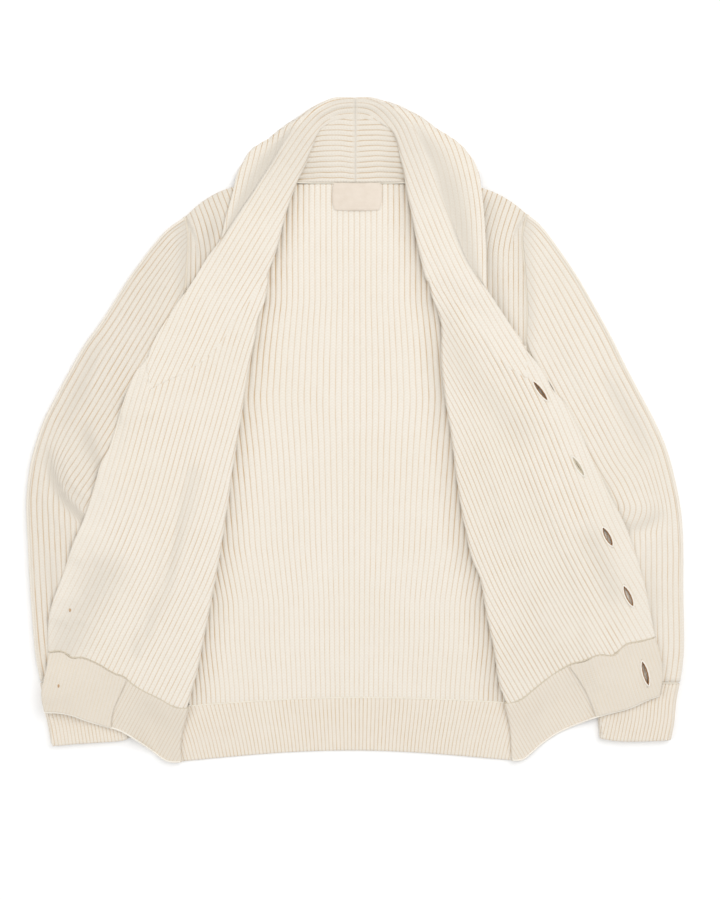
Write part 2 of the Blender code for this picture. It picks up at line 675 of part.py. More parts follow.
def make_buttonholes():
    for number, place in enumerate(BUTTONHOLES, 1):
        cutter = buttonhole_cutter("buttonhole_%d" % number, *place)
        holders = ("front_right",) if number < len(BUTTONHOLES) else ("front_hem_right", "hem_facing_right")
        for holder in holders:
            cut = bpy.data.objects[holder].modifiers.new(cutter.name, "BOOLEAN")
            cut.operation = "DIFFERENCE"
            cut.object = cutter


def make_label(field, slots):
    half_x, half_y = LABEL_HALF
    centre = np.array(LABEL_CENTRE)
    plan = np.array([[centre + [x, y - 0.06 * abs(x) * (y < 0)] for x in np.linspace(-half_x, half_x, 5)]
                     for y in (-half_y, 0, half_y)])
    ply("neck_label", field, plan, LABEL, slots["satin"], FIELD_CELL, 0)


def main():
    clear_scene()
    slots = {name: material(name, color, 0.9 if name != "horn" else 0.4) for name, color in COLORS.items()}
    field = Field()
    make_back(field, slots)
    make_label(field, slots)
    unders = make_unders(field)
    make_sleeves(field, slots)
    make_buttons(field, slots)
    make_fronts(field, slots, unders)
    make_front_hems(field, slots)
    make_buttonholes()
    make_collar(field, slots)


main()
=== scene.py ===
import json
import math

import bmesh
import bpy
import numpy as np
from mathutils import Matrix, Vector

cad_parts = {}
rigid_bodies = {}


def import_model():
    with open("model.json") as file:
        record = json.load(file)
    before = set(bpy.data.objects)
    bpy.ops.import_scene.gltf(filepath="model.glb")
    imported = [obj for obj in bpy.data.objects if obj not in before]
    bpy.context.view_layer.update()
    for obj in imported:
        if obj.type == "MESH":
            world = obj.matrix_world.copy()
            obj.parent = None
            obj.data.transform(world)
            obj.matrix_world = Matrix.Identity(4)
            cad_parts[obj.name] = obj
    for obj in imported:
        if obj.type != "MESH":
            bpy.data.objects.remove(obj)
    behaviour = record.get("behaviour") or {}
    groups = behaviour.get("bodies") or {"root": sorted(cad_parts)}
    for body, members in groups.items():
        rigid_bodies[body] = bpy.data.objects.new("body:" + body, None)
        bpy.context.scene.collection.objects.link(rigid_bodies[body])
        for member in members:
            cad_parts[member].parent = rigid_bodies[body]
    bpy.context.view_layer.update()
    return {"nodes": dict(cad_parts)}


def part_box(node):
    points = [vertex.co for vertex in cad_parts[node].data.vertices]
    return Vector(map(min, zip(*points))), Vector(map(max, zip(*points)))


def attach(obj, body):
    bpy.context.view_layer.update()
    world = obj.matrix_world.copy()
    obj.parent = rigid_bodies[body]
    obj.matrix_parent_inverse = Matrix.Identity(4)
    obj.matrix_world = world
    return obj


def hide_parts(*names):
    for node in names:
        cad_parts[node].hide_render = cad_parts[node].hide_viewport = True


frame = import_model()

# Shawl collar cardigan in heavy rib knit, lying open on its back with both fronts turned outwards.
# Lengths in the dictionaries are millimetres. "Out" runs from the centre back line to a side, "up" to
# the neck. Points of the pattern drawing are in its squares of 1.2 mm, from its top left corner.

mm = 0.001

clothSettings = {
    "thick": 3.4,          # sheet without its ribs
    "clearance": 0.9,      # kept between sheets that lie on each other
    "floorGap": 0.3,       # kept between a sheet and the floor
    "ribDepth": 1.0,
    "acrossStep": 0.9,     # size of the mesh across the ribs
    "alongStep": 5.0,      # size of the mesh along the ribs
    "rimRadius": 1.7,      # rounding of a cut or sewn edge
    "rollSegments": 6,     # points round a rolled edge
}

viewSettings = {
    "centre": (0.0057, -0.0255),
    "height": 2.55,
    "lens": 85.0,
    # place in metres, size, power
    "lights": {"keyBox": ((1.35, 1.15, 2.2), 2.2, 31.0), "fillBox": ((-1.9, -0.4, 1.7), 1.6, 13.0),
               "topBox": ((0.2, 0.1, 3.4), 2.4, 20.0)},
    "skyStrength": 0.59,
}

sides = (("left", -1), ("right", 1))   # the viewer's, with the sign of their x


def squares(points):
    # points of the pattern drawing to millimetres
    points = np.asarray(points, float)
    return np.column_stack([(points[:, 0] - 355.25) * 1.2, (428.75 - points[:, 1]) * 1.2])


def steps(grid, axis=0):
    # lengths of the steps along one axis of a table of points
    return np.linalg.norm(np.diff(grid, axis=axis), axis=-1)


def unit(ways):
    return ways / np.maximum(np.linalg.norm(ways, axis=-1, keepdims=True), 1e-9)


def moved(grid, places, axis):
    # carries a table smoothly to fractional rows or columns
    grid = np.moveaxis(np.asarray(grid, float), axis, 0)
    padded = np.concatenate([[2 * grid[0] - grid[1]], grid, [2 * grid[-1] - grid[-2]]])
    cell = np.clip(np.asarray(places).astype(int), 0, len(grid) - 2)
    t = (places - cell).reshape(-1, *[1] * (grid.ndim - 1))
    before, here, there, after = (padded[cell + k] for k in range(4))
    made = 0.5 * (2 * here + (there - before) * t
                  + (2 * before - 5 * here + 4 * there - after) * t ** 2
                  + (3 * here - before - 3 * there + after) * t ** 3)
    return np.moveaxis(made, 0, axis)


def smoothLine(points, count):
    return curve(squares(points), count)


def curve(points, count):
    # evenly spaced points on a smooth line through the given ones
    points = np.asarray(points, float)
    dense = moved(points, np.linspace(0, len(points) - 1, 24 * len(points)), 0)
    lengths = np.concatenate([[0], np.cumsum(steps(dense))])
    wanted = np.linspace(0, 1, count) * lengths[-1]
    return np.column_stack([np.interp(wanted, lengths, column) for column in dense.T])


def rowsThrough(table, count):
    return moved(table, np.linspace(0, len(table) - 1, count), 0)


def between(first, last, count):
    shares = np.linspace(0, 1, count)[None, :, None]
    return first[:, None, :] * (1 - shares) + last[:, None, :] * shares


def coons(bottom, top, first, last):
    # rows run from bottom to top, columns from the first line to the last
    across = np.linspace(0, 1, len(bottom))[None, :, None]
    up = np.linspace(0, 1, len(first))[:, None, None]
    sides = first[:, None] * (1 - across) + last[:, None] * across
    ends = bottom[None] * (1 - up) + top[None] * up
    corners = ((bottom[0] * (1 - across) + bottom[-1] * across) * (1 - up)
               + (top[0] * (1 - across) + top[-1] * across) * up)
    return sides + ends - corners


def smoothStep(value, low, high):
    t = np.clip((np.asarray(value, float) - low) / (high - low), 0, 1)
    return t * t * (3 - 2 * t)


def nearLine(plan, line, extend=0.0):
    # signed distance from a line, positive on its left, and the length along it
    dense = curve(line, 320)
    if extend:
        first = dense[0] + unit(dense[0] - dense[4]) * extend
        last = dense[-1] + unit(dense[-1] - dense[-5]) * extend
        dense = np.vstack([curve([first, dense[0]], 60)[:-1], dense, curve([dense[-1], last], 60)[1:]])
    runs = np.diff(dense, axis=0)
    sizes = np.linalg.norm(runs, axis=1)
    lengths = np.concatenate([[0], np.cumsum(sizes)])
    points = plan.reshape(-1, 2)
    away = ((points[:, None] - dense[None, :-1]) ** 2).sum(axis=2)
    nearest = away.argmin(axis=1)
    best = None
    for shift in (-1, 0):
        cell = np.clip(nearest + shift, 0, len(runs) - 1)
        offset = points - dense[cell]
        share = np.clip((offset * runs[cell]).sum(axis=1) / sizes[cell] ** 2, 0, 1)
        rest = offset - runs[cell] * share[:, None]
        distance = np.linalg.norm(rest, axis=1)
        way = np.sign(runs[cell][:, 0] * rest[:, 1] - runs[cell][:, 1] * rest[:, 0])
        found = np.column_stack([distance, way * distance, lengths[cell] + share * sizes[cell]])
        best = found if best is None else np.where(found[:, :1] < best[:, :1], found, best)
    return best[:, 1].reshape(plan.shape[:2]), best[:, 2].reshape(plan.shape[:2])


class Pile:
    # height of the cloth laid down so far, on square cells
    half = 440.0
    cell = 4.0

    def __init__(self):
        self.count = int(2 * self.half / self.cell)
        self.height = np.zeros((self.count, self.count))

    def cells(self, plan):
        return np.clip(((plan + self.half) / self.cell).astype(int), 0, self.count - 1)

    def under(self, plan, reach):
        high = self.height
        for axis in (0, 1):
            wide = high
            for step in range(1, int(math.ceil(reach / self.cell)) + 1):
                wide = np.maximum(wide, np.maximum(np.roll(high, step, axis), np.roll(high, -step, axis)))
            high = wide
        index = self.cells(plan)
        return high[index[..., 0], index[..., 1]]

    def cover(self, top):
        rows, columns = top.shape[:2]
        size = max(steps(top[..., :2], axis).max() for axis in (0, 1))
        parts = int(size / self.cell * 1.6) + 2
        fine = moved(top, np.linspace(0, rows - 1, (rows - 1) * parts), 0)
        fine = moved(fine, np.linspace(0, columns - 1, (columns - 1) * parts), 1)
        index = self.cells(fine[..., :2])
        np.maximum.at(self.height, (index[..., 0], index[..., 1]), fine[..., 2])


def eased(heights):
    # each height drawn towards the mean of its neighbours
    padded = np.pad(heights, 1, mode="edge")
    mean = (padded[:-2, 1:-1] + padded[2:, 1:-1] + padded[1:-1, :-2] + padded[1:-1, 2:]) / 4
    return 0.4 * heights + 0.6 * mean


def laid(plan, reach, passes=6):
    # height of a sheet on what lies below, eased without sinking into it
    below = pile.under(plan, reach)
    least = np.where(below > 0, below + clothSettings["clearance"], clothSettings["floorGap"])
    low = least
    for _ in range(passes):
        low = np.maximum(least, eased(low))
    return low


def draped(plan, reach, passes):
    # height of what lies below, widened and then evened out, so that no step of it shows through
    low = laid(plan, reach, 0)
    for _ in range(passes):
        low = eased(low)
    return np.maximum(low, laid(plan, 4.0, 0))


def folds(plan, table):
    # sum of soft ridges and troughs: points of its line in squares, half width, height
    total = np.zeros(plan.shape[:2])
    for points, width, height in table:
        line = squares(points)
        distance, along = nearLine(plan, line)
        fade = np.sin(np.clip(along / steps(curve(line, 40)).sum(), 0, 1) * math.pi) ** 0.6
        total += height * np.exp(-(distance / width) ** 2) * fade
    return total


def shaded(shade, plan, table):
    # adds soft places of painted shade: points of its line in squares, half width, amount
    for points, width, amount in table:
        shade = shade + amount * np.exp(-(nearLine(plan, squares(points))[0] / width) ** 2)
    return shade


def ofSide(settings, name):
    # the values of one side, left or right
    return {key: value[name] for key, value in settings.items() if isinstance(value, dict) and name in value}


def widened(grid, before, after=0):
    # repeats the first and last column for rolled edges
    return np.pad(grid, ((0, 0), (before, after)), mode="edge")


def spaced(grid, step, axis, rims):
    # fractional rows or columns at even real distances, with three more close to each rounded rim
    lengths = np.concatenate([[0], np.cumsum(steps(grid, axis).mean(axis=1 - axis))])
    wanted = np.linspace(0, lengths[-1], max(4, int(round(lengths[-1] / step)) + 1))
    shares = np.array([0.22, 0.7, 1.3] if step > 2 else [])
    wanted = np.unique(np.concatenate([wanted, shares * rims[0], lengths[-1] - shares * rims[1]]))
    near = np.diff(wanted, prepend=-9) > 0.3
    near[-1] = True
    wanted = wanted[near]
    return np.interp(wanted, lengths, np.arange(len(lengths))), wanted, lengths[-1]


def linked(name, data):
    obj = bpy.data.objects.new(name, data)
    bpy.context.scene.collection.objects.link(obj)
    return obj


def meshObject(name, bm):
    mesh = bpy.data.meshes.new(name)
    bm.to_mesh(mesh)
    bm.free()
    return linked(name, mesh)


def extruded(bm, faces):
    # extrudes the faces and gives back the new points
    grown = bmesh.ops.extrude_face_region(bm, geom=faces)
    return [item for item in grown["geom"] if isinstance(item, bmesh.types.BMVert)]


def evaluated(obj):
    bpy.context.view_layer.update()
    graph = bpy.context.evaluated_depsgraph_get()
    return bpy.data.meshes.new_from_object(obj.evaluated_get(graph))


def shellMesh(name, outer, inner, cloth, strength, closed):
    # a grid that is extruded to a closed shell, whose points then go to their places
    rows, columns = outer.shape[:2]
    bm = bmesh.new()
    bmesh.ops.create_grid(bm, x_segments=columns - 1, y_segments=rows - 1, size=1.0)
    if closed:
        for vert in bm.verts:
            angle = (vert.co.x + 1) * math.pi
            vert.co = (math.cos(angle), math.sin(angle), vert.co.y)
        bmesh.ops.remove_doubles(bm, verts=bm.verts, dist=1e-5)
    lifted = extruded(bm, bm.faces[:])
    if closed:
        bmesh.ops.scale(bm, verts=lifted, vec=(2, 2, 1))
    else:
        bmesh.ops.translate(bm, verts=lifted, vec=(0, 0, 1))
    place = np.array([vert.co for vert in bm.verts])
    if closed:
        turn = np.arctan2(place[:, 1], place[:, 0]) % (2 * math.pi)
        column = np.round(turn / (2 * math.pi) * (columns - 1)).astype(int) % (columns - 1)
        row = np.round((place[:, 2] + 1) / 2 * (rows - 1)).astype(int)
        outside = np.hypot(place[:, 0], place[:, 1]) > 1.5
    else:
        column = np.round((place[:, 0] + 1) / 2 * (columns - 1)).astype(int)
        row = np.round((place[:, 1] + 1) / 2 * (rows - 1)).astype(int)
        outside = place[:, 2] > 0.5
    target = np.where(outside[:, None], outer[row, column], inner[row, column]) * mm
    for vert, point in zip(bm.verts, target.tolist()):
        vert.co = point
    bmesh.ops.recalc_face_normals(bm, faces=bm.faces)
    obj = meshObject(name, bm)
    obj.data.shade_smooth()
    obj.data.set_sharp_from_angle(angle=math.radians(70))
    # cloth holds the rib number, the length along and the painted shade
    layer = obj.data.attributes.new("cloth", "FLOAT_VECTOR", "POINT")
    layer.data.foreach_set("vector", np.ascontiguousarray(cloth[row, column], np.float32).ravel())
    layer = obj.data.attributes.new("ribbing", "FLOAT", "POINT")
    layer.data.foreach_set("value", np.ascontiguousarray(strength[row, column], np.float32))
    return obj


def ribShape(ribs):
    # 0 in a groove, 1 on a ridge; grooves are at whole numbers
    return (0.5 - 0.5 * np.cos(2 * math.pi * ribs)) ** 0.7


def declare(obj, top):
    # the cut of a sheet, from the lengths of its own lines
    width = steps(top, 1).sum(axis=1).max() * mm
    length = steps(top, 0).sum(axis=0).max() * mm
    first = np.cross(top[1:, :-1] - top[:-1, :-1], top[:-1, 1:] - top[:-1, :-1])
    last = np.cross(top[1:, :-1] - top[1:, 1:], top[:-1, 1:] - top[1:, 1:])
    area = (np.linalg.norm(first, axis=2).sum() + np.linalg.norm(last, axis=2).sum()) / 2 * mm * mm
    area = min(area, width * length)
    print("cut", obj.name, "%.0f x %.0f mm, %.3f m2" % (width / mm, length / mm, area))


def knit(name, outer, inner, ribs, along, material, slot, nodes, held, restsOn=(), cut=None, depth=None,
         rims=None, closed=False, shade=None, strength=None, alongStep=None, acrossStep=None, after=None,
         carve=None):
    # a sheet between an outer and an inner table of points, with its ribs in relief and its cut declared
    depth = clothSettings["ribDepth"] if depth is None else depth
    rims = (clothSettings["rimRadius"],) * 4 if rims is None else rims
    rowPlaces, rowMm, rowEnd = spaced(outer, alongStep or clothSettings["alongStep"], 0, rims[:2])
    columnPlaces, columnMm, columnEnd = spaced(outer, acrossStep or clothSettings["acrossStep"], 1, rims[2:])

    def fine(grid):
        return moved(moved(grid, rowPlaces, 0), columnPlaces, 1)

    outerFine, innerFine = fine(outer), fine(inner)
    alongFine = fine(along)
    ribsFine = ribs(outerFine) if callable(ribs) else fine(ribs)
    if after is not None:   # other rib numbers from this column on
        ribsFine[:, columnPlaces >= after[1]] = fine(after[0])[:, columnPlaces >= after[1]]
    shadeFine = fine(shade) if shade is not None else np.zeros_like(ribsFine)
    valley = carve(outerFine) if carve else 0.0   # 1 in the middle of a sewn crease
    # painted shade along a sewn crease
    shadeFine = shadeFine + 0.2 * valley
    if callable(strength):
        strengthFine = strength(outerFine)
    else:
        strengthFine = np.clip(fine(strength), 0, 1.5) if strength is not None else np.ones_like(ribsFine)
    normal = unit(np.cross(np.gradient(outerFine, axis=0), np.gradient(outerFine, axis=1)))
    normal *= np.sign((normal * (outerFine - innerFine)).sum(axis=2, keepdims=True) + 1e-12)

    full = np.ones(ribsFine.shape)
    for radius, distance, axis in ((rims[0], rowMm, 0), (rims[1], rowEnd - rowMm, 0),
                                   (rims[2], columnMm, 1), (rims[3], columnEnd - columnMm, 1)):
        if radius:
            near = np.sqrt(1 - (1 - np.clip(distance / radius, 0, 1)) ** 2)
            near = np.clip(near, 0.12, 1)
            full *= near[:, None] if axis == 0 else near[None, :]
    strengthFine = strengthFine * np.clip(1 - valley, 0, 1)
    height = depth * (ribShape(ribsFine) - 0.5) * strengthFine - 0.5 * valley
    middle = (outerFine + innerFine) / 2
    outerFine = middle + (outerFine - middle + normal * height[..., None]) * full[..., None]
    innerFine = middle + (innerFine - middle + normal * (0.3 * depth * (1 - ribShape(ribsFine)))[..., None]) \
        * full[..., None]
    # the third value of the cloth attribute is painted shade
    cloth = np.dstack([ribsFine, alongFine, np.clip(shadeFine, 0, 1)])
    obj = shellMesh(name, outerFine, innerFine, cloth, strengthFine, closed)
    obj.data.materials.append(material)
    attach(obj, "root")
    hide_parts(*nodes)
    print("made", name, len(obj.data.polygons) * 2, "triangles")
    declare(obj, outer if cut is None else cut)


def rayDown(obj, point):
    hit, place, _, _ = obj.ray_cast((point[0] * mm, point[1] * mm, 0.2), (0, 0, -1))
    return place.z / mm if hit else 0.0


def bead(name, path, radius, material, twist):
    # a thin worked cord along a closed or open path
    path = np.asarray(path, float)
    data = bpy.data.curves.new(name, "CURVE")
    data.dimensions = "3D"
    data.bevel_depth = radius * mm
    data.bevel_resolution = 1
    data.use_fill_caps = True
    spline = data.splines.new("POLY")
    spline.points.add(len(path) - 1)
    for point, place, number in zip(spline.points, path, range(len(path))):
        point.co = (*(place * mm), 1.0)
        point.radius = 1.0 + twist * math.sin(number * 2.4)
    spline.use_cyclic_u = bool(np.linalg.norm(path[0] - path[-1]) < 2.5)
    source = linked(name + "Path", data)
    mesh = evaluated(source)
    bpy.data.objects.remove(source)
    mesh.name = name
    mesh.shade_smooth()
    mesh.materials.clear()
    mesh.materials.append(material)
    obj = linked(name, mesh)
    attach(obj, "root")
    return obj


def seamCord(name, points, radius, drop, material, startDip=0.0):
    # the linked seam between two panels, lying a little lower than they do
    path = curve(points, max(8, int(len(points) * 10)))
    height = pile.under(path[:, None], 4.0)[:, 0]
    kernel = np.ones(7) / 7
    height = np.convolve(np.pad(height, 3, mode="edge"), kernel, mode="valid")
    height[0] -= startDip
    return bead(name, np.column_stack([path, height - drop]), radius, material, 0.1)


def withHeight(plan, height):
    return np.dstack([plan, height])


def rolled(top, low, base):
    # columns that carry the first edge of a sheet round and down to a base height
    count, thick = clothSettings["rollSegments"], clothSettings["thick"]
    turn = unit(top[:, 0, :2] - top[:, 1, :2])
    radius = np.maximum((top[:, 0, 2] - base) / 2, thick / 2)
    inside = np.maximum(radius - thick, 0.2)
    centre = top[:, 0, 2] - radius
    angles = [math.pi * step / count for step in range(count, 0, -1)]
    made = []
    for size, sheet in ((radius, top), (inside, low)):
        columns = [np.column_stack([top[:, 0, :2] + turn * (size * math.sin(angle))[:, None],
                                    centre + size * math.cos(angle)]) for angle in angles]
        made.append(np.concatenate([np.stack(columns, axis=1), sheet], axis=1))
    return made


def carried(values, outer, count, least=0.0):
    # carries rib numbers on round rolled columns, by real distance
    sizes = steps(outer, 1)
    slope = (values[:, 1] - values[:, 0]) / np.maximum(sizes[:, count], 1e-6)
    slope = np.where(slope < 0, -1, 1) * np.clip(np.abs(slope), least, 0.3)
    columns = [values[:, 0]]
    for column in range(count - 1, -1, -1):
        columns.insert(0, columns[0] - slope * sizes[:, column])
    return np.concatenate([np.stack(columns[:-1], axis=1), values], axis=1)


def hexColor(code):
    # sRGB hex to linear
    parts = [int(code[k:k + 2], 16) / 255 for k in (0, 2, 4)]
    return (*[part / 12.92 if part <= 0.04045 else ((part + 0.055) / 1.055) ** 2.4 for part in parts], 1.0)


def addNode(tree, kind, settings=None, **links):
    # a node with its settings; a link is a socket, anything else is the value of that input
    node = tree.nodes.new(kind)
    for key, value in (settings or {}).items():
        setattr(node, key, value)
    for key, value in links.items():
        socket = node.inputs[int(key[1:])] if key[0] == "i" and key[1:].isdigit() else node.inputs[key]
        if isinstance(value, bpy.types.NodeSocket):
            tree.links.new(value, socket)
        else:
            socket.default_value = value
    return node


def mathNode(tree, operation, first, second=0.0):
    return addNode(tree, "ShaderNodeMath", {"operation": operation}, i0=first, i1=second).outputs[0]


def mixNode(tree, share, first, second):
    # a blend of two colours, each a hex code or a link
    first, second = (hexColor(color) if isinstance(color, str) else color for color in (first, second))
    return addNode(tree, "ShaderNodeMix", {"data_type": "RGBA"}, i0=share, i6=first, i7=second).outputs[2]


def noiseNode(tree, place, scale, detail, distortion=0.0):
    return addNode(tree, "ShaderNodeTexNoise", Vector=place, Scale=scale, Detail=detail,
                   Distortion=distortion).outputs[0]


def bumpNode(tree, shader, height, strength, distance):
    bump = addNode(tree, "ShaderNodeBump", Height=height, Strength=strength, Distance=distance)
    tree.links.new(bump.outputs[0], shader.inputs["Normal"])


def startMaterial(name, values):
    # a material with values of its shader's inputs, and the place that its patterns read
    material = bpy.data.materials.new(name)
    material.use_nodes = True
    tree = material.node_tree
    shader = tree.nodes["Principled BSDF"]
    for key, value in values.items():
        shader.inputs[key].default_value = value
    return material, tree, shader, addNode(tree, "ShaderNodeTexCoord").outputs["Object"]


def woolMaterial(name, settings):
    # Spun wool: matt, a little translucent, with fine loose fibres that catch the light at its edges.
    material, tree, shader, place = startMaterial(name, {
        "Roughness": 0.92, "Specular IOR Level": 0.25, "Sheen Weight": 0.12, "Sheen Roughness": 0.5})
    attribute = addNode(tree, "ShaderNodeAttribute", {"attribute_name": "cloth"})
    parts = addNode(tree, "ShaderNodeSeparateXYZ", i0=attribute.outputs["Vector"])
    ribbing = addNode(tree, "ShaderNodeAttribute", {"attribute_name": "ribbing"}).outputs["Fac"]

    def times(first, second):
        return mathNode(tree, "MULTIPLY", first, second)

    wander = noiseNode(tree, place, settings["wanderScale"], 1.0)
    shift = times(mathNode(tree, "SUBTRACT", wander, 0.5), settings["wander"])
    ribs = mathNode(tree, "ADD", parts.outputs[0], shift)
    fromGroove = mathNode(tree, "PINGPONG", ribs, 0.5)
    groove = addNode(tree, "ShaderNodeMapRange", {"interpolation_type": "SMOOTHSTEP"}, Value=fromGroove,
                     i1=0.0, i2=settings["grooveWidth"], i3=1.0, i4=0.0).outputs[0]
    # the ribbing attribute sets how much painted groove shade shows
    groove = times(groove, ribbing)

    # stitches lean to both sides of a rib, one every few millimetres
    lean = times(fromGroove, settings["stitchLean"])
    step = mathNode(tree, "ADD", mathNode(tree, "DIVIDE", parts.outputs[1], settings["stitch"]), lean)
    wave = mathNode(tree, "SINE", times(step, 2 * math.pi))
    stitch = mathNode(tree, "MULTIPLY_ADD", wave, 0.5)
    stitch.node.inputs[2].default_value = 0.5

    patches = noiseNode(tree, place, settings["patchScale"], 3.0)
    fuzz = noiseNode(tree, place, settings["fuzzScale"], 2.0)
    uneven = addNode(tree, "ShaderNodeMapRange", Value=noiseNode(tree, place, settings["unevenScale"], 2.0),
                     i1=0.3, i2=0.7, i3=settings["grooveLeast"], i4=settings["grooveMost"]).outputs[0]
    # painted shade: the grooves between the ribs, and the low of each stitch, are mixed towards the groove
    # colour
    grooveTone = times(groove, uneven)
    yarn = mixNode(tree, patches, settings["ridge"], settings["ridgeDeep"])
    low = times(mathNode(tree, "SUBTRACT", 1.0, stitch), settings["stitchTone"])
    yarn = mixNode(tree, low, yarn, settings["groove"])
    yarn = mixNode(tree, grooveTone, yarn, settings["groove"])
    # painted shade: the third value of the cloth attribute mixes the yarn towards the hollow colour
    shade = times(parts.outputs[2], settings["shade"])
    yarn = mixNode(tree, shade, yarn, settings["hollow"])
    tree.links.new(yarn, shader.inputs["Base Color"])

    relief = times(groove, -settings["grooveBump"])
    relief = mathNode(tree, "ADD", relief, times(stitch, settings["stitchBump"]))
    relief = mathNode(tree, "ADD", relief, times(fuzz, settings["fuzzBump"]))
    bumpNode(tree, shader, relief, 1.0, mm)
    return material


knitSettings = {
    "grooveWidth": 0.18, "grooveLeast": 0.4, "grooveMost": 0.8,   # share of a rib, and of the groove's painted shade colour
    "wander": 0.1,                                                # share of a rib that its grooves stray
    "wanderScale": 40.0, "patchScale": 12.0, "unevenScale": 60.0, "fuzzScale": 1500.0,
    "stitch": 3.0, "stitchLean": 1.2, "stitchTone": 0.1,          # size in millimetres, coarser than real
    "grooveBump": 0.2, "stitchBump": 0.14, "fuzzBump": 0.18,      # millimetres
    "shade": 0.7,                                                 # how far the painted shade goes towards the hollow colour
}
# groove and hollow are colours of painted shade, in the grooves between the ribs and in hollows and folds
ribWool = woolMaterial("ribWool", {
    **knitSettings, "ridge": "EFE9DF", "ridgeDeep": "EAE3D6", "groove": "CDA772", "hollow": "CDC5B8",
    "grooveWidth": 0.15, "wanderScale": 30.0, "patchScale": 9.0, "unevenScale": 45.0, "fuzzScale": 1400.0,
    "stitch": 3.6, "stitchLean": 1.4, "grooveBump": 0.25, "fuzzBump": 0.2,
})
hemWool = woolMaterial("hemRibbingWool", {
    **knitSettings, "ridge": "EDE6DA", "ridgeDeep": "E8DFD2", "groove": "D0B286", "hollow": "CBC1B0",
    "stitchBump": 0.12,
})
facingWool = woolMaterial("facingKnitWool", {
    **knitSettings, "ridge": "E6DED2", "ridgeDeep": "DFD6C8", "groove": "DCC8A6", "hollow": "CBBFAB",
    "grooveWidth": 0.2, "grooveLeast": 0.2, "grooveMost": 0.5, "wander": 0.15, "wanderScale": 60.0,
    "patchScale": 14.0, "stitch": 2.4, "stitchTone": 0.14, "grooveBump": 0.1,
})


def threadMaterial(name, code, deepCode):
    # Twisted sewing thread: matt with a faint twist along it.
    material, tree, shader, place = startMaterial(name, {"Roughness": 0.75})
    twist = noiseNode(tree, place, 1600.0, 2.0)
    tree.links.new(mixNode(tree, twist, code, deepCode), shader.inputs["Base Color"])
    bumpNode(tree, shader, twist, 0.6, 0.3 * mm)
    return material


def satinMaterial():
    # Woven polyester satin: long floats across the weave give it a soft silky gleam.
    material, tree, shader, place = startMaterial("wovenSatin", {
        "Roughness": 0.42, "Anisotropic": 0.5, "Sheen Weight": 0.2})
    # a thread about every 0.9 mm, coarser than real
    threads = addNode(tree, "ShaderNodeTexWave", {"bands_direction": "Y"}, Vector=place, Scale=180.0,
                      Distortion=1.5, Detail=1.0)
    cloudy = noiseNode(tree, place, 120.0, 2.0)
    tree.links.new(mixNode(tree, cloudy, "E7DBCD", "DBCDBC"), shader.inputs["Base Color"])
    bumpNode(tree, shader, threads.outputs[1], 0.5, 0.2 * mm)
    return material


def hornMaterial():
    # Polished polyester made to look like horn: brown with cloudy streaks under a glossy surface.
    material, tree, shader, place = startMaterial("hornResin", {"Roughness": 0.25})
    streaks = noiseNode(tree, place, 110.0, 4.0, 1.8)
    tree.links.new(mixNode(tree, streaks, "3A2416", "9A7347"), shader.inputs["Base Color"])
    return material


seamThread = threadMaterial("woolSeamThread", "F6F1E7", "E6DCC8")
holeThread = threadMaterial("buttonholeThread", "FBF8F1", "EFE6D6")
knotThread = threadMaterial("brownSewingThread", "D8B68E", "BC9468")
# brown cord in the buttonholes: painted shade deep in the slits
slitShadeThread = threadMaterial("buttonholeInnerCord", "B58A5E", "976D45")
hemThread = threadMaterial("hemLinking", "DFD5C3", "CEC2AA")
# greyer than the other seam thread: painted shade of the valley along the armhole
armholeThread = threadMaterial("woolArmholeThread", "E9E0D1", "DACFBC")
satin = satinMaterial()
horn = hornMaterial()
print("materials done")

pile = Pile()

# back

backSettings = {
    # painted shade beside the folds of the fronts, with its half width below
    "foldShade": {"left": 0.3, "right": 0.6},
    "foldShadeWide": 14.0,
    # left_out, left_up, right_out, right_up, from the shoulder to the hem seam
    "sides": ((204, 253, 206, 256), (200, 228, 200, 230), (202, 190, 203, 192), (206, 140, 206, 142),
              (208, 104, 205, 104), (220, 72, 217, 72), (236, 34, 233, 34), (232, -26, 226, -26),
              (223, -86, 215, -86), (213, -146, 203, -146), (207, -206, 191, -206), (203, -266, 183, -266),
              (200, -332, 180, -328)),
    # rib spacing at heights
    "pitch": ((-400, 5.6), (-310, 5.75), (-260, 5.95), (-205, 6.05), (-145, 6.55), (-85, 6.8), (-25, 7.1),
              (35, 7.5), (95, 7.2), (155, 6.7), (240, 6.75), (300, 6.75)),
    "ribbing": 0.62,
    # deeper ribs with browner grooves near the folds, as painted shade
    "ribbingNearFold": 0.85,
    "neckUp": 293.6,
    "hemSag": 8.0,
    "hemEnds": ((-206, -399), (187, -398)),
    "rows": 44,
    "shoulderRows": 9,
    "hemPitch": ((-400, 4.35), (-374, 4.5), (-326, 4.87)),
}


def backRows(count):
    rows = rowsThrough(backSettings["sides"], count)
    return np.column_stack([-rows[:, 0], rows[:, 1]]), rows[:, 2:]


def shoulderDrop(plan, start, neckUp):
    # lifts the first rows towards the neck, so that the shoulder line is level beside the neck
    rows = backSettings["shoulderRows"]
    across = np.abs(plan[start, :, 0]) / np.abs(plan[start, :, 0]).max()
    drop = np.clip((across - 0.6) / 0.4, 0, 1) ** 1.5
    direction = 1 if start == 0 else -1
    for k in range(rows):
        row = start + direction * k
        plan[row, :, 1] += (neckUp - plan[row, :, 1]) * (1 - drop) * (1 - k / rows) ** 2


def hemSeam(count):
    shares = np.linspace(0, 1, count)
    ends = np.array(backSettings["sides"][-1], float)
    x = -ends[0] * (1 - shares) + ends[2] * shares
    y = ends[1] * (1 - shares) + ends[3] * shares
    return np.column_stack([x, y + backSettings["hemSag"] * np.sin(math.pi * shares)])


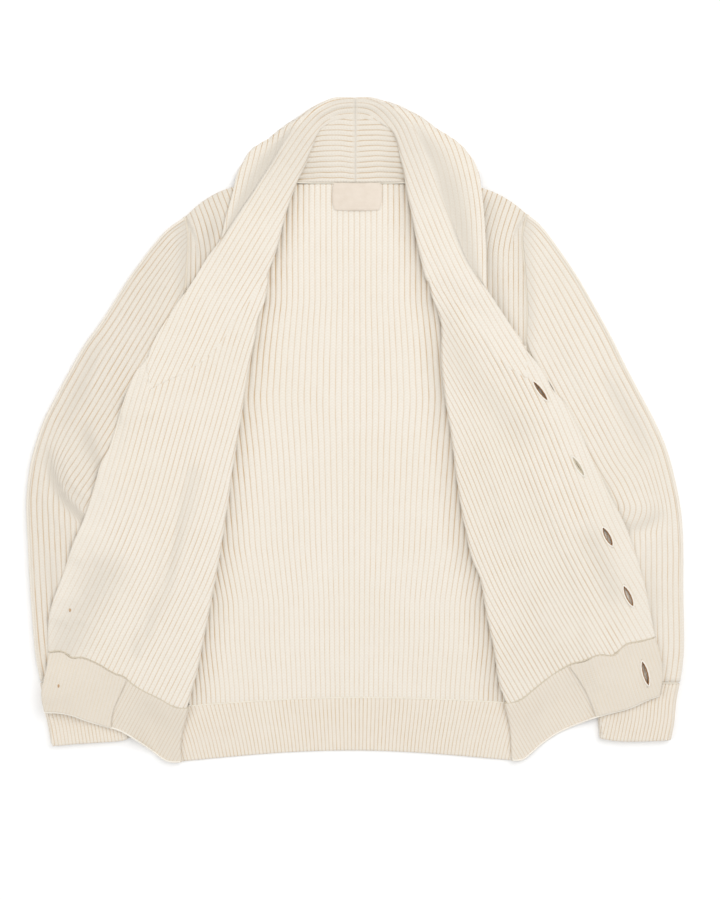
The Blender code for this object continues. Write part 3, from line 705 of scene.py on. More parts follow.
def backRibbing(plan):
    # the ribs are deeper along the folded fronts, and their grooves browner as painted shade beside the folds
    closeness = np.zeros(plan.shape[:2])
    for name in ("left", "right"):
        away = np.abs(nearLine(plan, squares(frontSettings["fold"][name]))[0])
        closeness += 1 - smoothStep(away, 4.0, 34.0)
    return backSettings["ribbing"] + backSettings["ribbingNearFold"] * closeness


def backShade(plan):
    # painted shade beside the folds of the fronts, a little darker
    return shaded(0.0, plan, [(frontSettings["fold"][name], backSettings["foldShadeWide"], amount)
                              for name, amount in backSettings["foldShade"].items()])


def makeBack():
    columns = 30
    plan = between(*backRows(backSettings["rows"]), columns)
    shoulderDrop(plan, 0, backSettings["neckUp"])
    plan[-1] = hemSeam(columns)
    pitchUp, pitchMm = np.array(backSettings["pitch"]).T
    ribs = plan[..., 0] / np.interp(plan[..., 1], pitchUp, pitchMm) + 0.2
    low = np.full(plan.shape[:2], clothSettings["floorGap"])
    top = withHeight(plan, low + clothSettings["thick"])
    radius = clothSettings["rimRadius"]
    knit("backPanel", top, withHeight(plan, low), ribs, -plan[..., 1], ribWool, "wool_rib", ["back"], "laid",
         alongStep=7.0, acrossStep=1.0, rims=(radius, 0.9, radius, radius), shade=backShade(plan),
         strength=backRibbing(plan))
    pile.cover(top)

    hem = np.array(backSettings["hemEnds"], float)
    shares = np.linspace(0, 1, columns)[:, None]
    edge = hem[0] * (1 - shares) + hem[1] * shares
    edge[:, 1:] += 1.6 * backSettings["hemSag"] * np.sin(math.pi * shares)
    seam = hemSeam(columns)
    for line in (seam, edge):   # its ends lie below the front hems
        line[:, 0] += 6.0 * (2 * shares[:, 0] - 1) ** 9
    plan = np.swapaxes(between(seam - [0, 0.5], edge, 8), 0, 1)
    pitchUp, pitchMm = np.array(backSettings["hemPitch"]).T
    ribs = plan[..., 0] / np.interp(plan[..., 1], pitchUp, pitchMm)
    low = np.full(plan.shape[:2], clothSettings["floorGap"])
    top = withHeight(plan, low + clothSettings["thick"] - 0.2)
    knit("backHemRibbing", top, withHeight(plan, low), ribs, -plan[..., 1], hemWool, "wool_ribbing",
         ["back_hem"], "laid", depth=0.6, acrossStep=0.7, rims=(0.9, radius, radius, radius))
    pile.cover(top)
    seamCord("backHemSeam", curve(hemSeam(columns), 100) - [0, 0.25], 0.9, 0.6, seamThread)


# label, bare

labelSettings = {
    "half": (28.0, 16.0), "centre": (2.0, 278.4), "thick": 0.8, "rest": 4.6, "bulge": 1.4,
    "sag": 1.4,   # how far the middle of its lower edge hangs down
}


def makeLabel():
    halfX, halfY = labelSettings["half"]
    x = np.linspace(-1, 1, 13)[None, :]
    y = np.linspace(1, -1, 9)[:, None]
    narrow = 1 + 0.05 * (1 - y ** 2) - 0.03 * (y < -0.5)
    plan = np.dstack([labelSettings["centre"][0] + halfX * x * narrow,
                      labelSettings["centre"][1] + halfY * y
                      + labelSettings["sag"] * (1 - x ** 2) * np.minimum(y, 0)])
    low = labelSettings["rest"] + labelSettings["bulge"] * (1 - x ** 2) * (1 - y ** 2) + 0 * y
    top = withHeight(plan, low + labelSettings["thick"])
    ribs = np.zeros(plan.shape[:2])
    knit("neckLabel", top, withHeight(plan, low), ribs, ribs, satin, "label_satin", ["neck_label"], "laid",
         ["backPanel"], depth=0.0, rims=(0.4,) * 4, acrossStep=1.5, alongStep=1.5)


# fronts: the part that stays right side up

frontSettings = {
    # edge of each turned front where it folds, from the hem seam to the collar, in pattern squares
    "fold": {
        "left": ((188.8, 707), (195.7, 682), (200, 666), (205, 640), (209.5, 618.7), (216, 586), (223.5, 545),
                 (230, 503), (236, 462), (242.5, 424), (248.8, 384), (253, 361), (256.8, 344), (261, 319),
                 (265.7, 310), (270.5, 286), (277.7, 248), (286, 215.5), (296.4, 183)),
        "right": ((505, 702), (497.4, 681), (492, 646), (485, 614), (479.3, 580), (470.5, 559), (464.3, 531),
                  (459.4, 507), (454.4, 474), (449.4, 435), (445.3, 412), (441.7, 387), (439.3, 360),
                  (438.7, 325), (430, 299.5), (426, 282), (415.5, 238), (406.6, 193), (403.5, 183)),
    },
    "foldInset": 5.0,   # from that edge to where the cloth starts to roll
    # seam between front and collar, from the fold to the corner below the collar's foot
    "lapel": {
        "left": ((266, 280), (242.7, 311), (217, 348), (202, 362), (189, 370), (176, 377), (163, 383),
                 (152.5, 389)),
        "right": ((428.5, 280), (453.5, 302), (472, 322), (493, 352), (510, 368.5), (525.5, 378.5)),
    },
    # free front edge, from the hem seam to the foot of the collar
    "edge": {
        "left": ((49.4, 651), (48.8, 638), (50.5, 616), (55.5, 597), (64, 574), (74, 545), (83.6, 522),
                 (89, 507), (96, 485), (103, 461), (110, 448), (119.5, 418), (124, 404), (128.7, 391),
                 (136, 373), (148, 359)),
        "right": ((654, 636), (645, 590), (639, 568), (632, 546), (623, 522.5), (611, 499), (599.7, 475.6),
                  (588, 452), (577.7, 429), (563, 402), (552, 390), (542, 371), (523.5, 348)),
    },
    "hemSeam": {
        "left": ((188.8, 707), (176, 706), (161, 698), (145, 690), (134, 683), (125.7, 675.5), (115, 671.5),
                 (99, 662), (84, 656), (73, 656), (64, 650), (49.4, 651)),
        "right": ((505, 702), (519, 699), (536, 686), (552, 674), (570, 663), (582, 660), (596.5, 653.6),
                  (612.5, 653.6), (623, 643.5), (640.6, 639.5), (654, 636)),
    },
    "hem": {
        "left": ((183, 761.6), (178.5, 762), (168, 761), (160, 756.5), (147.5, 747), (135, 738), (121, 730),
                 (104, 725), (88, 720), (75, 715), (61, 712), (46.5, 711.7)),
        "right": ((510.5, 760), (520, 760), (527, 756), (540, 745), (555, 734.6), (568, 728), (584, 721),
                  (594, 717), (608.5, 713), (627, 708), (645, 700), (658, 695)),
    },
    "hemFold": {
        "left": ((188.8, 707), (185.4, 722), (182, 743), (183, 761.6)),
        "right": ((505, 702), (508.8, 724), (510, 744), (510.5, 760)),
    },
    "hemEdge": {
        "left": ((49.4, 651), (48, 668), (44, 685), (43.6, 699), (46.5, 711.7)),
        "right": ((654, 636), (659.4, 654), (661.4, 673), (660, 686), (658, 695)),
    },
    # line that the ribs follow, in squares
    "guide": {
        "left": ((290, 220), (262, 281), (239, 338), (222, 396), (206, 452), (189, 512), (170, 562),
                 (151, 602), (131, 642), (108, 688)),
        "right": ((402, 280), (431, 330), (460, 380), (481, 420), (499, 460), (523, 520), (540, 560),
                  (561, 600), (584, 640), (618, 700)),
    },
    # rib spacing at distances from that line, positive towards the viewer's right
    "spacing": {"left": ((-60, 6.3), (-20, 6.0), (30, 6.0), (70, 5.8)),
                "right": ((-60, 5.4), (-20, 5.1), (8, 5.0), (34, 6.0), (80, 6.3))},
    "ribbing": {"left": 0.76, "right": 0.98},
    # places of painted shade, a little greyer: line in squares, half width, amount
    "shades": {
        "left": ((((62, 655), (84, 610), (106, 572)), 24.0, 0.55),
                 (((196, 470), (188, 510), (176, 555), (163, 597), (150, 625), (138, 650)), 7.0, 0.4)),
        "right": ((((440, 320), (470, 370), (520, 430)), 20.0, 0.3), (((520, 480), (570, 590)), 20.0, 0.1),
                  (((590, 540), (612, 590)), 16.0, 0.35)),
    },
    "reach": 22.0,    # how far what lies below is widened
    "passes": 16,     # how often it is evened out
    # lines that the ribs of the hems and of their facings follow
    "hemGuide": {"left": ((181, 679), (175, 690), (140, 755)),
                 "right": ((514, 679), (520, 690), (557, 755))},
    "facingGuide": {"left": ((100, 660), (92, 690), (85, 715)),
                    "right": ((598, 650), (606, 675), (616, 705))},
    "hemPitch": 4.2,
    "hemIn": 2.6,       # from the shown fold to where the cloth starts to roll
    "hemRest": 3.9,     # height at which the rolled fold of the hem ends
    "hemReach": 14.0,
    "hemPasses": 10,
    "facingLift": 0.65,
    "facingThick": 1.3,
    "hemShade": {"left": 0.38, "right": 0.2},
    "hemRibbing": 0.7,
    "facingPitch": 4.2,
    # share of the hem where its facing starts, at the seam and at the edge
    "facingStart": {"left": (0.445, 0.54), "right": (0.44, 0.59)},
    # soft ridges (+) and troughs (-): line in squares, half width, height
    "folds": {
        "left": ((((205, 395), (190, 500), (180, 594), (164, 660)), 12.0, 3.0),
                 (((184, 440), (176, 500), (167, 560), (146, 645)), 7.0, -2.6),
                 (((150, 470), (138, 540), (118, 620)), 13.0, -2.0),
                 (((133, 455), (112, 540), (90, 602)), 14.0, 1.8),
                 (((98, 555), (84, 590), (70, 632)), 12.0, -1.8),
                 (((222, 470), (205, 550), (192, 620)), 8.0, -1.6)),
        "right": ((((468, 395), (497, 477), (530, 578), (560, 660)), 15.0, 3.4),
                  (((498, 395), (520, 480), (558, 560), (600, 640)), 15.0, -2.8),
                  (((548, 420), (590, 515), (624, 600)), 13.0, 1.8),
                  (((470, 350), (495, 375), (530, 410)), 14.0, -1.6)),
    },
}
underSettings = {
    "least": 10.0,         # width
    "pitch": 6.3,
    "ribShift": 0.84,
    "pitchBeyond": 5.8,    # rib spacing beyond the short seam of the shoulder
    "seamOut": {"left": 156.2, "right": 160.4},   # where those ribs are counted from
    "seamWide": 1.1,
    "edgeShade": 0.35,     # painted shade beside the armhole
    # painted shade over the whole shoulder, more on the left
    "shade": {"left": 0.35, "right": 0.2},
    "crease": {"left": (1.9, 240, 262), "right": (1.1, 222, 242)},   # depth, and where it runs out
    # places in the shadow of the collar: line in squares, half width, amount
    "shades": {"left": ((((214, 225), (204, 262), (194, 292)), 9.0, 0.35),),
               "right": ((((487, 205), (487, 250), (497, 300), (508, 330)), 9.0, 0.7),)},
    # line that the ribs of the shoulder follow, and the short seam at its tip, in squares
    "guide": {
        "left": ((200, 176), (206, 192), (211, 205), (215.5, 217), (219.5, 232), (222, 247), (223, 262),
                 (223, 330), (223, 700)),
        "right": ((515, 176), (509, 190), (504.5, 203), (500, 216), (495.5, 231), (492.5, 246), (491.5, 262),
                  (491.5, 330), (491.5, 700)),
    },
    "seam": {
        "left": ((184.5, 217), (190.5, 227), (196, 239), (198, 256), (198.5, 300), (199, 345)),
        "right": ((527.5, 214), (520, 224), (512, 238), (510, 262), (510, 300), (511, 345)),
    },
}


def foldLine(name, sign, startUp, endUp, count):
    fold = smoothLine(frontSettings["fold"][name], 400)
    up = np.linspace(startUp, endUp, count)
    return np.column_stack([np.interp(up, fold[:, 1], fold[:, 0]) + sign * frontSettings["foldInset"], up])


unders = {}


def makeUnders():
    rows, columns = backSettings["rows"], 12
    plans = {}
    for name, sign in sides:
        low, high = squares(frontSettings["fold"][name])[[0, -1], 1]
        inner = foldLine(name, sign, low, high, rows)
        outer = backRows(rows)[0 if name == "left" else 1][::-1]
        outer[:, 0] = sign * np.maximum(np.abs(outer[:, 0]), np.abs(inner[:, 0]) + underSettings["least"])
        plan = between(outer, inner, columns)
        shoulderDrop(plan, rows - 1, backSettings["neckUp"] - 1)
        plans[name] = (plan, laid(plan, 4.0))
    for name, sign in sides:
        plan, low = plans[name]
        under = ofSide(underSettings, name)
        guide = squares(under["guide"])
        seam = squares(under["seam"])
        along = nearLine(plan, guide, 60)[1]

        def ribsAt(points):
            curved = nearLine(points[..., :2], guide, 60)[0] * sign
            beyond = (nearLine(points[..., :2], seam, 200)[0] * sign > 0) & (points[..., 1] > -100)
            straight = (points[..., 0] * sign - under["seamOut"]) / underSettings["pitchBeyond"]
            return np.where(beyond, straight, curved / underSettings["pitch"] + underSettings["ribShift"])

        def creaseAt(points):
            away, run = nearLine(points[..., :2], seam, 200)
            depth, first, last = under["crease"]
            hollow = depth * np.exp(-(away / underSettings["seamWide"]) ** 2)
            return hollow * (1 - smoothStep(run, first, last))

        def strengthAt(points):
            away, run = nearLine(points[..., :2], seam, 200)
            flat = (1 - smoothStep(np.abs(away), 0.6, 2.0)) * (1 - smoothStep(run, 225, 240))
            line, width, _ = under["shades"][0]
            # deeper ribs with browner grooves in the collar's shadow, as painted shade
            return 1.2 - 1.2 * flat + 0.4 * shaded(0.0, points[..., :2], [(line, width, 1.0)])

        top = withHeight(plan, low + clothSettings["thick"])
        edge = 1 - smoothStep(np.linspace(0, 1, columns), 0.0, 0.1)[None] + np.zeros((rows, 1))
        # painted shade beside the armhole and in the collar's shadow
        shade = shaded(under["shade"] + underSettings["edgeShade"] * edge, plan, under["shades"])
        knit("underFront_" + name, top, withHeight(plan, low), ribsAt, along, ribWool, "wool_rib",
             ["front_" + name], "folded", ["backPanel"], rims=(1.0, clothSettings["rimRadius"], 1.0, 1.0),
             shade=shade, strength=strengthAt, carve=creaseAt)
        unders[name] = (plan, low)
        pile.cover(top)


# sleeves and cuffs: flattened tubes

sleeveSettings = {
    # outer and inner edge, from the armhole to the cuff seam, in pattern squares
    "outer": {
        "left": ((184.7, 219), (168, 230.5), (154, 246), (141, 263), (128.6, 280), (103, 320), (85, 345),
                 (69, 373), (53, 403), (44.5, 420), (36.5, 443), (30.7, 466), (27.3, 495), (27.3, 518),
                 (28.4, 540), (31, 592), (35.6, 650), (41, 681)),
        "right": ((527.4, 216), (539.5, 225.5), (555, 245), (576.5, 276.5), (593, 305), (609.6, 335),
                  (625, 366), (640.8, 396), (654, 421), (665.7, 448), (674.5, 480), (680.4, 512),
                  (682.6, 546), (682.6, 590), (683.5, 641), (682, 665), (679.5, 681.5)),
    },
    "inner": {
        "left": ((171, 369), (163, 380), (156, 393), (151, 412), (148.5, 441), (147, 470), (146, 504),
                 (145, 541), (140, 595), (132, 647), (127, 680)),
        "right": ((537, 369), (545, 380), (553, 393), (559, 412), (562, 445), (565, 479), (568, 508),
                  (569, 545), (578.5, 600), (590, 647), (597, 681)),
    },
    "hollow": 3.0,
    "columns": 32,
    "rows": 120,
    "pitch": {"left": 6.6, "right": 6.5},
    "wrapPitch": 6.5,   # rib spacing round both edges and below
    # line that the ribs of the inner part follow, bent at the elbow, and its distance from the outer edge
    "guide": {
        "left": ((228, 212), (215, 235), (185, 289), (150, 350), (90, 450), (64, 491), (50, 522),
                 (30, 570), (5, 635), (-10, 690)),
        "right": ((480, 214), (505, 262), (530, 308), (560, 365), (600, 440), (612, 462), (626, 485),
                  (640, 520), (655, 560), (672, 605), (690, 650), (705, 700)),
    },
    "guideIn": {"left": 67.0, "right": 65.5},
    # crease at the elbow, where the ribs change their way
    "elbow": {"left": ((47, 420), (51, 446), (54, 470), (60, 488), (72, 506), (94, 527), (120, 545)),
              "right": ((560, 516), (700, 519))},
    "elbowWidth": {"left": 7.0, "right": 19.0},
    # the left sleeve, on the side away from the key light, gets browner grooves and more painted shade
    "ribbing": {"left": 1.3, "right": 0.85},
    "shade": {"left": 0.3, "right": 0.12},
    # soft ridges (+) and troughs (-): line in squares, half width, height
    "folds": {
        "left": ((((50, 446), (52, 468), (58, 487), (71, 506), (92, 527)), 5.5, -3.6),
                 (((62, 446), (73, 478), (98, 504)), 8.0, 5.0),
                 (((38, 470), (46, 500), (60, 522), (78, 540)), 6.0, 1.6),
                 (((86, 420), (92, 450), (108, 476)), 8.0, -2.2),
                 (((105, 337), (80, 395), (62, 430)), 11.0, -1.5),
                 (((140, 300), (115, 350), (95, 395)), 11.0, 1.8),
                 (((50, 550), (58, 600), (66, 655)), 9.0, -1.2)),
        "right": ((((594, 470), (610, 500), (621, 522), (632, 548)), 6.5, -1.0),
                  (((614, 526), (638, 526), (664, 511)), 6.5, -2.0),
                  (((612, 490), (632, 508), (656, 500)), 9.0, 1.6),
                  (((640, 545), (655, 540), (668, 530)), 8.0, 1.2),
                  (((598, 370), (630, 420), (650, 462)), 11.0, -1.5),
                  (((560, 330), (590, 390), (612, 440)), 11.0, 1.8),
                  (((643, 555), (652, 600), (650, 655)), 9.0, -1.2)),
    },
}
cuffSettings = {
    "outer": {"left": ((41, 682), (46, 712), (49, 725), (52, 743)),
              "right": ((679, 682.4), (675.5, 700), (673.4, 722), (670, 739.5))},
    "inner": {"left": ((127, 682), (129, 700), (129.5, 720), (129, 738)),
              "right": ((597, 682.4), (597.4, 705), (598, 722), (599.5, 738))},
    "bottom": {"left": ((129, 738), (122, 740), (104, 741.6), (81, 743), (56, 745), (52, 743)),
               "right": ((599.5, 738), (620, 740.6), (645, 740.6), (670, 739.5))},
    "pitch": 4.25,
    "hollow": 1.8,
}


def armhole(name, sign, count):
    column = 0 if name == "left" else 2
    return curve(np.array(backSettings["sides"], float)[:6, column:column + 2], count) * [sign, 1.0]


def sleeveRibs(name, paths, outerEdge):
    # along the outer edge the ribs follow it, and further in they run straight to the elbow
    arm = ofSide(sleeveSettings, name)
    fromEdge = np.abs(nearLine(paths, outerEdge, 80)[0])
    fromGuide = nearLine(paths, squares(arm["guide"]), 80)[0]
    inwards = 1 if fromGuide[8, 0] > fromGuide[8, -1] else -1
    fromGuide = fromGuide * inwards + arm["guideIn"]
    fromElbow = nearLine(paths, squares(arm["elbow"]))[0]
    above = smoothStep(fromElbow / arm["elbowWidth"], -1, 1)
    weight = smoothStep(fromEdge, 6.0, 48.0) * above
    return (fromEdge * (1 - weight) + fromGuide * weight) / arm["pitch"]


def bowed(paths, bow, rows):
    # carries the first rows of a tube's lines over to its end
    for row in range(rows):
        paths[row] += bow * (1 - row / rows) ** 1.6


def tube(name, outerEdge, innerEdge, first, last, hollow, pitch, ribsOn, folding, material, slot, nodes,
         depth, acrossStep, shade=0.0, strength=1.0, rims=(1.0, 0.5)):
    # a flattened tube whose ring starts and ends at its inner edge
    count = sleeveSettings["columns"]
    paths = between(innerEdge, outerEdge, count)
    rows = len(paths)
    if first is not None:
        bowed(paths, first[::-1] - paths[0], rows // 5)
    if last is not None:
        bowed(paths[::-1], last - paths[-1], rows // 2)
    thick, gap = clothSettings["thick"], clothSettings["floorGap"]
    height = 2 * thick + hollow
    distance, along = nearLine(paths, outerEdge, 80)
    distance = ribsOn(paths) if ribsOn else np.abs(distance) / pitch
    # degrees of the points round the inner edge, round the outer one and back at the inner one
    turns = {"in": (90, 60, 30), "out": (30, 60, 90, 120, 150), "back": (150, 120, 90)}
    rings = []
    for wall in (0.0, thick):
        half = height / 2
        radius = half - wall
        starts, ends = unit(paths[:, 0] - paths[:, 1]), unit(paths[:, -1] - paths[:, -2])
        core = paths.copy()
        core[:, 0] -= starts * half
        core[:, -1] -= ends * half

        def rounded(centre, way, degrees):
            angles = np.radians(degrees)
            return [np.column_stack([centre + way * radius * math.sin(angle),
                                     np.full(rows, half + radius * math.cos(angle))]) for angle in angles]

        columns = rounded(core[:, 0], starts, turns["in"])
        for column in range(count):
            lift = folding[:, column] if folding is not None else 0
            high = np.maximum(half + radius + lift, 2 * thick + gap - wall)
            columns.append(np.column_stack([core[:, column], high + np.zeros(rows)]))
        columns += rounded(core[:, -1], ends, turns["out"])
        for column in range(count - 1, -1, -1):
            columns.append(np.column_stack([core[:, column], np.full(rows, half - radius)]))
        columns += rounded(core[:, 0], starts, turns["back"])
        ring = np.stack(columns, axis=1)
        ring[..., 2] += gap
        rings.append(ring)
    outer, inner = rings
    sizes = steps(outer, 1)
    before, turning, behind = (len(turn) for turn in turns.values())
    top = slice(before, before + count)
    under = slice(top.stop + turning, top.stop + turning + count)
    ribs = np.zeros(outer.shape[:2])
    ribs[:, top] = distance

    def onwards(columns):
        for column in columns:
            ribs[:, column] = ribs[:, column - 1] - sizes[:, column - 1] / pitch

    for column in range(before - 1, -1, -1):
        ribs[:, column] = ribs[:, column + 1] + sizes[:, column] / pitch
    onwards(range(top.stop, under.start))
    ribs[:, under] = ribs[:, under.start - 1, None] - distance[:, ::-1]
    onwards(range(under.stop, outer.shape[1]))
    lengths = np.hstack([widened(along, before, turning), widened(along[:, ::-1], 0, behind)])
    # painted shade, on the top of the tube only
    paintedShade = np.zeros(outer.shape[:2])
    paintedShade[:, top] = shade
    knit(name, outer, inner, ribs, lengths, material, slot, nodes, "laid", depth=depth, closed=True,
         rims=(*rims, 0, 0), acrossStep=acrossStep, shade=paintedShade, strength=strength * (1 - 0.5 * paintedShade))
    pile.cover(outer[:, top])


def makeSleeves():
    for name, sign in sides:
        arm, cuff = ofSide(sleeveSettings, name), ofSide(cuffSettings, name)
        rows, columns = sleeveSettings["rows"], sleeveSettings["columns"]
        outerEdge = smoothLine(arm["outer"], rows)
        innerEdge = smoothLine(arm["inner"], rows)
        first = armhole(name, sign, columns) + [sign * 0.5, 0.3]
        folding = folds(between(innerEdge, outerEdge, columns), arm["folds"])
        # painted shade in the troughs of the folds, at the armhole end and over the whole sleeve
        shade = np.clip(-folding / 3.8, 0, 0.85)
        shade += 0.5 * (1 - smoothStep(np.arange(rows), 0, 4.4))[:, None] + arm["shade"]
        tube("sleeve_" + name + "Arm", outerEdge, innerEdge, first, None, sleeveSettings["hollow"],
             sleeveSettings["wrapPitch"], lambda paths: sleeveRibs(name, paths, outerEdge), folding,
             ribWool, "wool_rib", ["sleeve_" + name], clothSettings["ribDepth"], 1.0, shade, arm["ribbing"])
        outerEdge = smoothLine(cuff["outer"], 12)
        innerEdge = smoothLine(cuff["inner"], 12)
        last = smoothLine(cuff["bottom"], columns)
        tube("cuffRibbing_" + name, outerEdge, innerEdge, None, last, cuffSettings["hollow"],
             cuffSettings["pitch"], None, None, hemWool, "wool_ribbing", ["cuff_" + name], 1.0, 0.75,
             rims=(0.5, clothSettings["rimRadius"]))
        ends = np.array([innerEdge[0], outerEdge[0] * 0.97 + innerEdge[0] * 0.03]) + [0, 0.3]
        seamCord("cuffSeam_" + name, curve(ends, 8), 0.9, 0.6, seamThread)
        edge = armhole(name, sign, 10) + [sign * 0.3, 0]
        edge = np.vstack([edge, edge[-1] + (edge[-1] - edge[-2]) * 0.8])
        seamCord("armholeSeam_" + name, edge, 2.1, 3.0, armholeThread)


# fronts: the part that is turned back, with its rolled fold

turned = {}
footColumns = 5   # columns of a turned front that end at the collar's foot


def makeTurned():
    rows, columns = 48, 18
    radius = clothSettings["rimRadius"]
    for name, sign in sides:
        front = ofSide(frontSettings, name)
        seam = smoothLine(front["hemSeam"], columns)
        lapel = smoothLine(front["lapel"], columns - footColumns)
        fold = foldLine(name, sign, seam[0, 1], lapel[0, 1], rows)
        seam[0], lapel[0] = fold[0], fold[-1]
        edge = smoothLine(front["edge"], rows)
        foot = lapel[-1] + (edge[-1] - lapel[-1]) * np.linspace(0, 1, footColumns + 1)[1:, None]
        plan = coons(seam, np.vstack([lapel, foot]), fold, edge)
        low = draped(plan, frontSettings["reach"], frontSettings["passes"])
        outside = smoothStep(np.linspace(0, 1, columns), 0.72, 1.0)[None]
        onSleeve = laid(plan, 4.0, 5) - clothSettings["clearance"]
        low = low * (1 - outside) + onSleeve * outside - 0.4 * outside ** 4
        low = low + folds(plan, front["folds"])
        top = withHeight(plan, low + clothSettings["thick"])
        guide = squares(front["guide"])
        distance, along = nearLine(plan, guide, 60)
        places, spacing = np.array(front["spacing"]).T
        spots = np.arange(-160.0, 161.0)
        numbers = np.cumsum(1 / np.interp(spots, places, spacing))
        ribs = np.interp(distance, spots, numbers - numbers[len(spots) // 2]) + 0.5
        edge = smoothStep(np.linspace(0, 1, columns), 0.68, 0.98)[None] + np.zeros((rows, 1))
        strength = front["ribbing"] * (1 - 0.6 * edge)
        # greyer towards the free edge, and painted shade at the listed places
        shade = shaded(0.08 * edge, plan, front["shades"])
        underPlan, underLow = unders[name]
        base = np.interp(plan[:, 0, 1], underPlan[:, -1, 1], underLow[:, -1])
        outer, inner = rolled(top, withHeight(plan, low), base)
        count = clothSettings["rollSegments"]
        ribs = carried(ribs, outer, count)
        along, strength, shade = (widened(grid, count) for grid in (along, strength, shade))
        knit("turnedFront_" + name, outer, inner, ribs, along, ribWool, "wool_rib", ["front_" + name],
             "folded", ["underFront_" + name, "sleeve_" + name + "Arm"], rims=(0.8, 0, 0.6, radius),
             shade=shade, strength=strength)
        turned[name] = low


# front hems and the facings on them

def makeFrontHems():
    columns, rows = 28, 10
    for name, sign in sides:
        front = ofSide(frontSettings, name)
        seam = smoothLine(front["hemSeam"], columns)
        seam[:, 1] -= 0.5
        hem = smoothLine(front["hem"], columns)
        inner = smoothLine(front["hemFold"], rows)
        inner[:, 0] += sign * frontSettings["hemIn"]
        seam[0], hem[0] = inner[0] - [0, 0.5], inner[-1]
        outer = smoothLine(front["hemEdge"], rows)
        outer[0] = seam[-1]
        hemPlan = coons(seam, hem, inner, outer)
        hemLow = draped(hemPlan, frontSettings["hemReach"], frontSettings["hemPasses"])
        frontLow = turned[name][0]
        wanted = np.interp(np.linspace(0, 1, columns), np.linspace(0, 1, len(frontLow)), frontLow)
        fade = (1 - smoothStep(np.arange(rows), 0, 5))[:, None]
        hemLow += (wanted - hemLow[0])[None] * fade
        hemTop = withHeight(hemPlan, hemLow + clothSettings["thick"] - 0.1)
        distance, along = nearLine(hemPlan, squares(front["hemGuide"]), 200)
        ribs = distance / frontSettings["hemPitch"]
        base = np.full(rows, frontSettings["hemRest"])
        outerSide, innerSide = rolled(hemTop, withHeight(hemPlan, hemLow), base)
        count = clothSettings["rollSegments"]
        ribs = carried(ribs, outerSide, count)
        along = widened(along, count)
        radius = clothSettings["rimRadius"]
        shade = np.full(ribs.shape, front["hemShade"])
        knit("frontHemRibbing_" + name, outerSide, innerSide, ribs, along, hemWool, "wool_ribbing",
             ["front_hem_" + name], "folded", ["cuffRibbing_" + name], depth=0.6, acrossStep=0.75,
             rims=(0.8, radius, 0.6, radius), shade=shade,
             strength=np.full(ribs.shape, frontSettings["hemRibbing"]))
        pile.cover(hemTop)
        seamCord("castOff_" + name, curve(hem, 60) + [0, 1.0], 1.1, 0.35, holeThread)
        cord = np.vstack([seam[:1] - [sign * 3.0, 0], curve(seam, 80)[:-1]]) + [0, 0.3]
        seamCord("frontHemSeam_" + name, cord, 1.0, 0.9, hemThread, 1.5)

        first, last = front["facingStart"]
        starts = np.linspace(first, last, rows) * (columns - 1)
        facing = np.stack([moved(hemTop[row], np.linspace(starts[row], columns - 1.1, 18), 0)
                           for row in range(rows)])
        facing = moved(facing, np.linspace(0.15, rows - 1.2, rows), 0)
        facing[..., 2] += frontSettings["facingLift"]
        lid = facing + [0, 0, frontSettings["facingThick"]]
        distance, along = nearLine(lid[..., :2], squares(front["facingGuide"]), 200)
        ribs = distance / frontSettings["facingPitch"]
        knit("hemFacingStrip_" + name, lid, facing, ribs, along, facingWool, "wool_ribbing",
             ["hem_facing_" + name], "laid", ["frontHemRibbing_" + name], depth=0.4, rims=(0.8,) * 4,
             acrossStep=0.75)


# collar: the stand, and the lapel that rolls over it and runs out as the fall

